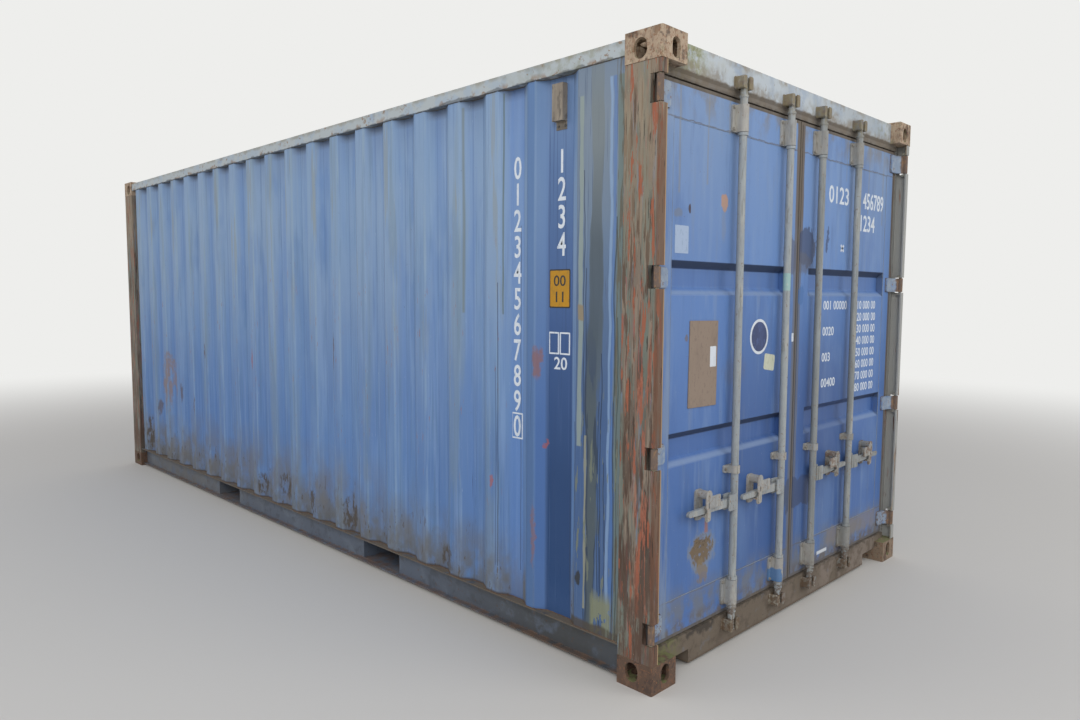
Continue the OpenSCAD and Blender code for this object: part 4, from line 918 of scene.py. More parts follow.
def door_paint(left: bool) -> bpy.types.Material:
    """Makes the stronger blue of a leaf, with its stains and rust runs.

    Args:
        left: True for the left leaf.

    Returns:
        The material.
    """
    s = Surface(ALKYD_DEEP_BLUE, "_left_leaf" if left else "_right_leaf", 140 if left else 160)
    y, z = s.here.y, s.here.z
    across = abs(y)
    inner = across.span(0, 600, 50)
    s.lay("#7a92b2", z.span(2000, 2700, 400), 0.8)
    s.lay("#668bc2", inner * z.span(1500, 2700, 300), 0.45)
    s.lay("#42659f", z.span(0, 1150, 350), 0.8)
    s.lay("#36568c", inner * z.span(0, 1400, 350), 0.75)
    s.lay("#6c8ab5", s.spots(420, 0.46, 0.64, 2.2), 0.35)
    s.lay("#44669e", s.spots(220, 0.52, 0.66, 3), 0.4)
    s.lay("#8198b6", s.spots(48, 0.5, 0.7, 10), 0.25)
    s.lay("#46628f", s.spots(60, 0.54, 0.7, 9), 0.35)
    s.lay("#8a9cb4", s.spots(9, 0.6, 0.72, 70, 3), 0.12)
    s.lay("#7f8995", s.spots(70, 0.56, 0.72, 8), 0.22, 0.65)
    s.lay("#7d786f", z.span(2340, 2500, 50) * s.spots(80, 0.42, 0.62, 1.5), 0.6, 0.8)
    # Splash dirt gathers over the sill, under a line where the panel is welded in
    foot = z.span(100, 330, 55)
    s.lay("#6d7073", foot * s.spots(80, 0.34, 0.6, 1.5), 0.75, 0.8)
    rough = s.ragged(60, 24)
    s.lay("#67635d", rough.z.span(314, 321, 3), 0.6, 0.85)
    s.lay("#645a4f", rough.z.span(150, 218, 22) * s.spots(60, 0.38, 0.6), 0.75, 0.9)
    s.lay("#5f5a58", rough.z.span(2288, 2293, 2), 0.75, 0.85)
    streak = s.ragged(150, 30, 5)
    apart = abs(streak.y)
    for middle, half, to in ((1004, 6, 2000), (806, 5, 2050), (643, 5, 2280), (520, 3, 2200)):
        s.patch("#8b8778", apart, (middle - half, middle + half), z, (to, 2440), 3, 0.45, 0.8)
    s.lay("#66483a", s.spots(8, 0.725, 0.745, 1.3, 3), 0.85, 0.9)
    s.lay("#a3afbb", s.spots(5, 0.71, 0.74, 5, 3), 0.55)
    # Painted shade darkens the upper fold of each groove, a painted highlight lightens the lower fold, and
    # the groove between is a deeper blue
    panel = across.span(112, 1052, 4)
    for middle in (1661, 955):
        s.lay("#262f45", panel * z.span(middle + 38, middle + 69, 3), 0.9)
        s.lay("#406099", panel * z.span(middle - 36, middle + 38, 8), 0.45)
        s.lay("#8a9db8", panel * z.span(middle - 70, middle - 52, 5), 0.6)
    s.lay("#55606f", across.span(1049, 1053, 2) * s.spots(60, 0.36, 0.5, 5), 0.7)
    # The seam between the leaves is rubbed brown by the gasket
    rubbed = abs(s.ragged(70, 22, 4).y)
    seam = rubbed.span(0, 38, 4)
    s.lay("#62656d", seam, 0.8, 0.7)
    s.lay("#675c50", seam * z.span(1850, 2600, 150), 0.85, 0.8)
    if left:
        left_leaf_stains(s)
    else:
        right_leaf_stains(s)
    # The inner face has the pale coat of the inside
    back = s.facing(0, -0.2, -0.5)
    s.lay("#8d9599", back, 0.95, 0.6)
    s.lay("#6f6a62", back * s.spots(120, 0.5, 0.66), 0.45, 0.8)
    s.lay("#6c7f9a", back * s.spots(60, 0.58, 0.66, 3), 0.5)
    s.raise_by(s.clouds(330, 1.4, 3), 2.5)
    return s.done()


def gasket_rubber() -> bpy.types.Material:
    """Makes the rubber of the door gaskets, dusty brown with lighter scuffs.

    Returns:
        The material.
    """
    s = Surface(EPDM_RUBBER, "", 180)
    s.lay("#6a6156", s.spots(40, 0.4, 0.58, 8), 0.75, 0.85)
    s.lay("#787166", s.spots(16, 0.58, 0.68, 6), 0.5)
    s.lay("#5d6068", s.here.z.span(0, 1900, 200) * s.spots(60, 0.36, 0.56, 5), 0.6)
    s.raise_by(s.clouds(8, 4, 3), 0.3)
    return s.done()


def gear_paint(base: Finish, rust: float, seed: int, touched: bool = False) -> bpy.types.Material:
    """Makes the zinc and old paint of the locking gear: dusty, and rusty towards the sill.

    Args:
        base: Its clean finish.
        rust: How much of the rust shows, from 0 to 1.
        seed: Where in the noise its patterns are taken.
        touched: True where a corner was touched up with blue.

    Returns:
        The material.
    """
    s = Surface(base, "_gear", seed)
    y, z = s.here.y, s.here.z
    s.lay("#868d92", s.spots(90, 0.44, 0.6, 5), 0.5)
    s.lay("#aeaba0", s.spots(30, 0.52, 0.63, 6), 0.5)
    s.lay("#6a6c68", y.span(0, 1300, 20) * s.spots(60, 0.3, 0.56, 9), 0.55)
    s.lay("#74756f", s.spots(12, 0.55, 0.66, 8), 0.55, 0.7)
    s.lay("#765c49", s.spots(15, 0.62, 0.67, 1.5), 0.5 + 0.4 * rust, 0.85)
    s.lay("#6a4f3d", s.spots(26, 0.47, 0.55), 0.85 * rust, 0.9)
    s.lay("#5e4936", z.span(40, 200, 30) * s.spots(18, 0.42, 0.54), 0.8, 0.88)
    s.lay("#857a5d", z.span(2440, 2600, 30) * s.spots(20, 0.4, 0.56), 0.65, 0.85)
    s.lay("#8a6b50", z.span(590, 860, 60) * s.spots(10, 0.6, 0.65), 0.7, 0.85)
    if touched:
        rough = s.ragged(24, 30)
        s.lay("#3f6f9f", rough.y.span(-240, -168, 3) * rough.z.span(190, 262, 4), 0.85)
    s.raise_by(s.clouds(7), 0.25)
    return s.done()


def blade_paint() -> bpy.types.Material:
    """Makes the thin blue grey paint of the hinge blades, rusty round their rims and welds.

    Returns:
        The material.
    """
    s = Surface(ALKYD_THIN, "", 230)
    s.lay("#95a0ab", s.spots(40, 0.45, 0.6), 0.6)
    s.lay("#6781aa", s.spots(30, 0.52, 0.62), 0.5)
    s.lay("#7c5f4a", s.spots(14, 0.6, 0.65), 0.8, 0.88)
    s.lay("#6d5646", s.here.z.span(100, 420, 120) * s.spots(16, 0.5, 0.6), 0.7, 0.9)
    # Outside the leaf the blade bends to its pin, and stays rusty inside the post
    rough = s.ragged(20, 16)
    for low, high in ((-1300, -1142), (1176, 1300)):
        pin = rough.y.span(low, high, 3)
        s.lay("#66513f", pin, 0.9, 0.88)
        s.lay("#8f7052", pin * s.spots(12, 0.5, 0.6, 2), 0.6, 0.88)
    s.raise_by(s.clouds(9), 0.3)
    return s.done()


def vent_paint() -> bpy.types.Material:
    """Makes the coat of the moulded vent hoods, faded to grey brown.

    Returns:
        The material.
    """
    s = Surface(ABS_OVERPAINTED, "_vents", 210)
    s.lay("#93897a", s.spots(50, 0.46, 0.6, 4), 0.6)
    s.lay("#4f4a43", s.spots(16, 0.54, 0.64, 4), 0.65)
    # Painted shade darkens the lower part of each hood
    s.lay("#46423d", s.here.z.span(2150, 2312, 8), 0.6, 0.8)
    return s.done()


def plywood() -> bpy.types.Material:
    """Makes the plywood of the floor, its grain along the container.

    Returns:
        The material.
    """
    s = Surface(KERUING_PLYWOOD, "", 220)
    drawn = add(s.tree, Kind.MAPPING, {"Vector": s.point, "Scale": (9.0, 260.0, 90.0)})
    grain = add(s.tree, Kind.NOISE, {"Vector": drawn, "Scale": 1.0, "Detail": 5.0})
    grain = Field(grain.outputs[0])
    s.lay("#5f432c", grain, 0.7)
    s.lay("#8a7358", s.spots(180, 0.5, 0.62), 0.6)
    s.lay("#3c332b", s.spots(110, 0.6, 0.68), 0.5, 0.8)
    s.raise_by(grain, 0.3)
    return s.done()


def plain_finish(base: Finish, worn: str, seed: int) -> bpy.types.Material:
    """Makes the finish of a small piece, with dirt on it.

    Args:
        base: Its clean finish.
        worn: Colour of the dirt as sRGB hex.
        seed: Where in the noise its patterns are taken.

    Returns:
        The material.
    """
    s = Surface(base, "", seed)
    s.lay(worn, s.spots(14, 0.56, 0.64, 2), 0.5)
    s.lay(worn, s.spots(70, 0.46, 0.66, 3), 0.3)
    return s.done()


def place_in_scene(name: str, data: bpy.types.ID) -> bpy.types.Object:
    """Puts a mesh, a text, a lamp or a camera in the scene.

    Args:
        name: Name of the new object.
        data: What it shows.

    Returns:
        The object.
    """
    made = bpy.data.objects.new(name, data)
    bpy.context.scene.collection.objects.link(made)
    return made


def as_mesh(source: bpy.types.Object) -> bpy.types.Mesh:
    """Gives the evaluated shape of an object as a mesh of its own."""
    graph = bpy.context.evaluated_depsgraph_get()
    return bpy.data.meshes.new_from_object(source.evaluated_get(graph), depsgraph=graph)


def attach(name: str, mesh: bpy.types.Mesh, body: str, slot: str) -> None:
    """Makes a piece of a mesh on its body, and reports it.

    Args:
        name: Name of the piece.
        mesh: Its mesh, in the part's frame.
        body: The CAD body that it rides on.
        slot: The record's material slot; not used.
    """
    piece = place_in_scene(name, mesh)
    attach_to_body(piece, body)
    LOG.info("made %s on %s, %d faces", name, body, len(mesh.polygons))


def attach_solid(name: str, shape: bmesh.types.BMesh, finish: bpy.types.Material, *on: str) -> None:
    """Makes a piece of a shape in one finish.

    Args:
        name: Name of the piece.
        shape: Its shape, in the part's frame.
        finish: Its finish.
        *on: The body and the slot, as in attach().
    """
    mesh = bpy.data.meshes.new(name)
    shape.to_mesh(mesh)
    shape.free()
    mesh.materials.append(finish)
    attach(name, mesh, *on)


class Repeat:
    """A Geometry Nodes tree with named inputs, run over a small guide mesh."""

    def __init__(self, name: str, **sizes: float) -> None:
        """Makes the tree's inputs and outputs.

        Args:
            name: Name of the tree.
            **sizes: The default of each size in the tree, in mm.
        """
        self.tree = bpy.data.node_groups.new(name, "GeometryNodeTree")
        face = self.tree.interface
        face.new_socket("Geometry", in_out="INPUT", socket_type="NodeSocketGeometry")
        for label, default in sizes.items():
            face.new_socket(label, in_out="INPUT", socket_type="NodeSocketFloat").default_value = default * MM
        face.new_socket("Facing", in_out="INPUT", socket_type="NodeSocketVector")
        face.new_socket("Finish", in_out="INPUT", socket_type="NodeSocketMaterial")
        face.new_socket("Geometry", in_out="OUTPUT", socket_type="NodeSocketGeometry")
        self.given = self.add(Kind.GROUP_IN).outputs

    def add(self, kind: Kind, feeds: dict | None = None, **settings: Any) -> bpy.types.Node:
        """Adds a node to the tree, with the arguments of the function add()."""
        return add(self.tree, kind, feeds, **settings)

    def times(self, size: str, factor: float) -> bpy.types.Node:
        """Gives a named size times a factor."""
        return self.add(Kind.MATH, {0: self.given[size], 1: factor}, operation="MULTIPLY")

    def close(self, made: bpy.types.Node) -> None:
        """Ends the tree with real meshes of the geometry so far, in the given finish."""
        dressed = {"Geometry": self.add(Kind.REALIZE, {0: made}), "Material": self.given["Finish"]}
        self.add(Kind.GROUP_OUT, {0: self.add(Kind.MATERIAL, dressed)})

    def run(self, name: str, runs: Iterable[Sequence[Sequence[float]]], body: str, slot: str,
            finish: bpy.types.Material, facing: Sequence[float] | None = None, **sizes: float) -> None:
        """Runs the tree over a guide and attaches the piece that it makes.

        Args:
            name: Name of the new piece.
            runs: Open runs of points in mm that the tree follows; a run of one point is a single point.
            body: The CAD body that it rides on.
            slot: The record's material slot.
            finish: Its finish.
            facing: Turn of each small part, or None to leave it upright.
            **sizes: Sizes of the tree by name, in mm.
        """
        points, edges = [], []
        for each in runs:
            start = len(points)
            points += [Vector(p) * MM for p in each]
            edges += [(start + i, start + i + 1) for i in range(len(each) - 1)]
        guide = bpy.data.meshes.new(f"{name}_guide")
        guide.from_pydata(points, edges, [])
        carrier = place_in_scene(f"{name}_guide", guide)
        modifier = carrier.modifiers.new("repeat", "NODES")
        modifier.node_group = self.tree
        given = {label: size * MM for label, size in sizes.items()} | {"Finish": finish}
        if facing is not None:
            given["Facing"] = facing
        for item in self.tree.interface.items_tree:
            if item.in_out == "INPUT" and item.name in given:
                modifier[item.identifier] = given[item.name]
        mesh = as_mesh(carrier)
        carrier.modifiers.remove(modifier)
        bpy.data.objects.remove(carrier)
        attach(name, mesh, body, slot)


def bolt_tree() -> Repeat:
    """Makes the tree of a bolt head on its washer, one at each point of the guide.

    Returns:
        The tree, with sizes Radius and Height.
    """
    tree = Repeat("bolt_heads", Radius=8, Height=6)
    given = tree.given
    washer = tree.add(Kind.CYLINDER, {
        "Vertices": 16, "Radius": tree.times("Radius", 1.35), "Depth": tree.times("Height", 0.35)})
    head = tree.add(Kind.CYLINDER, {"Vertices": 6, "Radius": given["Radius"], "Depth": given["Height"]})
    up = tree.add(Kind.COMBINE, {2: tree.times("Height", 0.6)})
    bolt = tree.add(Kind.JOIN, {0: washer})
    feed(bolt, {0: tree.add(Kind.MOVE, {"Geometry": head, "Translation": up})})
    tree.close(tree.add(
        Kind.SCATTER, {"Points": given["Geometry"], "Instance": bolt, "Rotation": given["Facing"]}))
    return tree


def bead_tree() -> Repeat:
    """Makes the tree of a rippled weld bead along the edges of the guide.

    Returns:
        The tree, with sizes Radius, Step and Ripple.
    """
    tree = Repeat("weld_beads", Radius=4, Step=12, Ripple=1.2)
    given = tree.given
    line = tree.add(Kind.TO_CURVE, {0: given["Geometry"]})
    evened = tree.add(Kind.RESAMPLE, {"Curve": line, "Length": given["Step"]}, mode="LENGTH")
    lowest, highest = (
        tree.add(Kind.COMBINE, {way: ripple for way in range(3)})
        for ripple in (tree.times("Ripple", -1.0), given["Ripple"]))
    spread = tree.add(Kind.RANDOM, {0: lowest, 1: highest, "Seed": 7}, data_type="FLOAT_VECTOR")
    moved = tree.add(Kind.SHIFT, {"Geometry": evened, "Offset": spread.outputs[0]})
    profile = tree.add(Kind.CIRCLE, {"Resolution": 6, "Radius": given["Radius"]})
    swept = tree.add(Kind.SWEEP, {"Curve": moved, "Profile Curve": profile, "Fill Caps": True})
    tree.close(tree.add(Kind.SMOOTH, {0: swept}))
    return tree


@dataclass
class Mark:
    """Something thin on a face, by its middle across and up, its size and how far out it lies, in mm."""

    across: float
    up: float
    wide: float
    high: float
    out: float
    facing: Facing

    def shape(self) -> bmesh.types.BMesh:
        """Makes the shape of the mark, in the part's frame."""
        raise NotImplementedError

    def make(self, name: str, finish: bpy.types.Material, *on: str) -> None:
        """Makes the mark and attaches it, with the arguments of attach_solid()."""
        attach_solid(name, self.shape(), finish, *on)

    def place(self, across: float, up: float) -> Matrix:
        """Gives the matrix from mm on the face, about a point across and up, to the part's frame."""
        return Matrix.Scale(MM, 4) @ self.facing.turn() @ Matrix.Translation((across, up, self.out))


@dataclass
class Plate(Mark):
    """A flat label or plate with round corners, leaning to the left in degrees, or just its border."""

    thick: float = 0.6
    corner: float = 3.0
    lean: float = 0.0
    border: float = 0.0

    def outline(self, inset: float) -> list[Vector]:
        """Draws the outline, anticlockwise.

        Args:
            inset: How far inside the plate's edge it runs, in mm.

        Returns:
            Its points.
        """
        radius = max(self.corner - inset, 0.5)
        steps = 16 if self.corner >= min(self.wide, self.high) / 2 else 5
        points = []
        for turn, (sx, sy) in enumerate(((1, 1), (-1, 1), (-1, -1), (1, -1))):
            for i in range(steps + 1):
                angle = (turn + i / steps) * math.pi / 2
                points.append(Vector((
                    sx * (self.wide / 2 - inset - radius) + radius * math.cos(angle),
                    sy * (self.high / 2 - inset - radius) + radius * math.sin(angle), 0.0)))
        return points

    def shape(self) -> bmesh.types.BMesh:
        """Makes the solid of the plate, or of its border.

        Returns:
            The solid, in the part's frame.
        """
        shape = bmesh.new()
        loops = [self.outline(0.0)] + ([self.outline(self.border)] if self.border else [])
        lift = Vector((0, 0, self.thick))
        low = [[shape.verts.new(p) for p in loop] for loop in loops]
        high = [[shape.verts.new(p + lift) for p in loop] for loop in loops]
        count = len(loops[0])
        for i in range(count):
            j = (i + 1) % count
            shape.faces.new((low[0][i], low[0][j], high[0][j], high[0][i]))
            if self.border:
                shape.faces.new((high[0][i], high[0][j], high[1][j], high[1][i]))
                shape.faces.new((low[0][j], low[0][i], low[1][i], low[1][j]))
                shape.faces.new((low[1][j], low[1][i], high[1][i], high[1][j]))
        if not self.border:
            shape.faces.new(high[0])
            shape.faces.new(low[0][::-1])
        turn = Matrix.Rotation(math.radians(self.lean), 4, "Z")
        shape.transform(self.place(self.across, self.up) @ turn)
        return shape


@dataclass
class Numbers(Mark):
    """Digits painted in lines that are a pitch apart.

    The first line has its top at up, each digit is high and the widest line is wide. The lines start at
    one left edge where aside is true, and stand about their middle where it is not.
    """

    lines: Sequence[str] = ()
    pitch: float = 0.0
    aside: bool = False

    def write(self, line: str) -> bpy.types.Mesh:
        """Writes one line as a thin solid.

        Args:
            line: Its digits.

        Returns:
            The mesh, one unit high or so.
        """
        text = bpy.data.curves.new(line, "FONT")
        text.body = line
        text.resolution_u = 3
        text.extrude = 0.4
        text.offset = 0.012
        shown = place_in_scene(line, text)
        mesh = as_mesh(shown)
        bpy.data.objects.remove(shown)
        return mesh

    def shape(self) -> bmesh.types.BMesh:
        """Makes the digits as thin solids, stretched to their size.

        Returns:
            The solids, in the part's frame.
        """
        meshes = [self.write(line) for line in self.lines]
        spans = [(min(v.co.x for v in mesh.vertices), max(v.co.x for v in mesh.vertices)) for mesh in meshes]
        tall = max(v.co.y for mesh in meshes for v in mesh.vertices)
        scale = self.wide / max(right - left for left, right in spans)
        stretch = Matrix.Diagonal((scale, self.high / tall, 1.0, 1.0))
        joined = bmesh.new()
        for row, (mesh, (left, right)) in enumerate(zip(meshes, spans)):
            middle = left + self.wide / scale / 2 if self.aside else (left + right) / 2
            place = self.place(self.across, self.up - self.high - row * self.pitch)
            mesh.transform(place @ (stretch @ Matrix.Translation((-middle, 0, 0))))
            joined.from_mesh(mesh)
            bpy.data.meshes.remove(mesh)
        bmesh.ops.remove_doubles(joined, verts=joined.verts, dist=0.005 * MM)
        return joined


@dataclass
class Assembly:
    """A sub-assembly of the container, with the trees of its weld beads and its bolts."""

    bead: Repeat
    bolt: Repeat


@dataclass
class SideWalls(Assembly):
    """The two long sides: paint, vents, numbers and the beads along their edges. Sizes in mm."""

    outer_out: float = 1207.0
    inner_out: float = 1171.0
    post_x: float = 2851.0
    plain_flat: float = 251.0
    mark_slope: float = 60.0
    mark_flat: float = 135.0
    short_flat: float = 42.0
    pitch: float = FOLD_PITCH
    outer_flat: float = 80.0
    slope: float = 66.0
    waves: int = 18
    foot: float = 158.0
    top: float = 2513.0
    long_x: float = 2198.0
    short_x: float = 2475.0
    digit_high: float = 99.0
    digit_wide: float = 50.0
    digit_pitch: float = 118.0
    digits_top: float = 2212.0
    digit_box: tuple[float, float] = (76.0, 122.0)
    height_plate: tuple[float, float] = (2466.0, 1616.0)
    height_plate_size: tuple[float, float] = (126.0, 168.0)
    height_plate_edge: float = 6.0
    boxes: tuple[float, float] = (2466.0, 1378.0)
    box_size: tuple[float, float] = (62.0, 98.0)
    box_apart: float = 66.0
    rivet_z: tuple[float, float] = (2306.0, 2478.0)
    rivets_apart: float = 40.0

    def line(self) -> list[tuple[float, float]]:
        """Follows the outer outline of the left wall in plan.

        Returns:
            Its points as X and distance from the middle.
        """
        x = self.post_x
        points = [(x, self.outer_out)]
        for step, out in ((self.plain_flat, self.outer_out), (self.mark_slope, self.inner_out),
                          (self.mark_flat, self.inner_out), (self.mark_slope, self.outer_out),
                          (self.short_flat, self.outer_out)):
            x -= step
            points.append((x, out))
        inner_flat = self.pitch - self.outer_flat - 2 * self.slope
        for _ in range(self.waves):
            for step, out in ((self.slope, self.inner_out), (inner_flat, self.inner_out),
                              (self.slope, self.outer_out), (self.outer_flat, self.outer_out)):
                x -= step
                points.append((x, out))
        return points

    def dress(self) -> None:
        """Gives the walls and vents their finishes."""
        dress(wall_paint(False, 0), "left_side_wall")
        dress(wall_paint(True, 20), "right_side_wall")
        dress(vent_paint(), "side_vents")

    def beads(self, side: str, sign: int) -> None:
        """Makes the beads along the wall's foot and top and the seam along the door post.

        Args:
            side: Name of the side.
            sign: 1 on the left side and -1 on the right one, which is turned end for end.
        """
        foot = [(sign * x, -sign * out, self.foot + 1) for x, out in self.line()]
        top = [(sign * x, -sign * (out - 1), self.top - 2) for x, out in self.line()]
        seam = [(sign * self.post_x, -sign * (self.outer_out - 1), z) for z in (self.foot, self.top)]
        rust = plain_finish(WEATHERED_STEEL, "#7a6048", 300)
        dirt = plain_finish(Finish("sealant_dirty", "#6a6258", 0.85), "#4b443c", 305)
        self.bead.run(f"{side}_wall_foot_bead", [foot], "frame", "underframe_paint", rust,
                      Radius=2.4, Step=9, Ripple=0.8)
        self.bead.run(f"{side}_wall_top_bead", [top, seam], "frame", "wall_paint", dirt,
                      Radius=1.8, Step=14, Ripple=0.5)

    def marks(self, side: str, facing: Facing) -> None:
        """Makes the numbers, the plates and the vent's rivets of one side.

        Args:
            side: Name of the side.
            facing: The way the side looks.
        """
        white = plain_finish(MARKING_WHITE, "#9fb0c4", 310)
        yellow = plain_finish(MARKING_YELLOW, "#8e6f2a", 320)
        black = plain_finish(MARKING_BLACK, "#3c3b35", 330)
        dark = plain_finish(BLACK_RIVET, "#2c2a28", 340)
        rivets = [[facing.turn() @ Vector((x, z, self.inner_out + 1.5))]
                  for x in (self.short_x - self.rivets_apart / 2, self.short_x + self.rivets_apart / 2)
                  for z in self.rivet_z]
        self.bolt.run(f"{side}_vent_rivets", rivets, "frame", "gear_paint", dark, facing.turn().to_euler(),
                      Radius=5, Height=3)
        face = (self.inner_out, facing)
        x, z = self.height_plate
        edge, edge_high = self.height_plate_size
        plate = (edge - 2 * self.height_plate_edge, edge_high - 2 * self.height_plate_edge)
        box_x, box_z = self.boxes
        half = self.box_apart / 2
        digits = (self.digits_top, self.digit_wide, self.digit_high, *face)
        last = self.digits_top - 10 * self.digit_pitch - self.digit_high / 2
        raised = (self.inner_out + 0.6, facing)
        for name, finish, mark in (
                ("long_numbers", white, Numbers(self.long_x, *digits, "01234567890", self.digit_pitch)),
                ("last_digit_box", white, Plate(self.long_x, last, *self.digit_box, *face, border=7)),
                ("short_numbers", white, Numbers(self.short_x, *digits, "1234", self.digit_pitch)),
                ("height_plate_edge", black, Plate(x, z, edge, edge_high, *face, corner=8)),
                ("height_plate", yellow, Plate(x, z, *plate, *face, thick=0.9, corner=5)),
                ("height_plate_numbers", black, Numbers(x, z + 58, 72, 46, *raised, ["00", "11"], 70)),
                ("empty_box_a", white, Plate(box_x - half, box_z, *self.box_size, *face, border=7, corner=4)),
                ("empty_box_b", white, Plate(box_x + half, box_z, *self.box_size, *face, border=7, corner=4)),
                ("small_numbers", white, Numbers(box_x + 8, box_z - 60, 78, 54, *face, ["20"]))):
            mark.make(f"{side}_{name}", finish, "frame", "wall_paint")

    def build(self) -> None:
        """Makes what is fixed to both sides."""
        for side, facing, sign in (("left", Facing.LEFT_SIDE, 1), ("right", Facing.RIGHT_SIDE, -1)):
            self.beads(side, sign)
            self.marks(side, facing)


@dataclass
class CornerFrame(Assembly):
    """Castings, posts, rails, header and sill, with their welds. Sizes in mm."""

    half_len: float = 3029.0
    half_wid: float = 1219.0
    cast_len: float = 178.0
    cast_high: float = 118.0
    height: float = 2591.0
    post_set: float = 2.0
    lip_wide: float = 40.0
    floor_top: float = 168.0
    screw_rows: int = 21
    screw_pitch: float = 280.0
    screw_y: tuple[float, ...] = (80.0, 400.0, 720.0, 1040.0)

    def dress(self) -> None:
        """Gives the steel frame, the roof and the floor their finishes."""
        dress(casting_steel(False), "bottom_corner_castings")
        dress(casting_steel(True), "top_corner_castings")
        dress(post_paint(False), "rear_corner_posts")
        dress(post_paint(True), "front_corner_posts")
        dress(header_paint(), "door_header")
        dress(sill_paint(), "door_sill")
        dress(roof_tube_paint(), "top_side_rails", "front_top_rail")
        dress(underframe_paint(), "bottom_side_rails", "front_bottom_rail", "cross_members", "fork_pockets")
        dress(front_wall_paint(), "front_end_wall")
        dress(roof_paint(), "roof_panel", "roof_corner_plates")
        dress(plywood(), "floor_boards")
        dress(gear_paint(ZINC_YELLOW, 0.2, 200), "hinge_lugs")
        dress(gear_paint(ZINC_KEEPER, 0.45, 205), "bar_keepers")

    def build(self) -> None:
        """Makes the weld beads where posts meet castings, and the screws of the floor."""
        rust = plain_finish(WEATHERED_STEEL, "#8a6d50", 350)
        x = self.half_len - self.post_set
        y = self.half_wid - self.post_set
        runs = [
            [(end * (self.half_len - self.cast_len + 6), side * y, z), (end * x, side * y, z),
             (end * x, side * (y - self.lip_wide + 2), z)]
            for end in (1, -1) for side in (1, -1) for z in (self.cast_high, self.height - self.cast_high)]
        # Thin enough to stay behind the faces of the castings
        self.bead.run("casting_weld_beads", runs, "frame", "casting_steel", rust, Radius=1.5, Ripple=0.3)
        steel = plain_finish(ZINC_BOLT, "#5b5148", 355)
        spots = [[(self.screw_pitch * (i - self.screw_rows // 2), side * y, self.floor_top)]
                 for i in range(self.screw_rows) for y in self.screw_y for side in (-1, 1)]
        self.bolt.run("floor_screws", spots, "frame", "plywood", steel, Radius=5, Height=1)


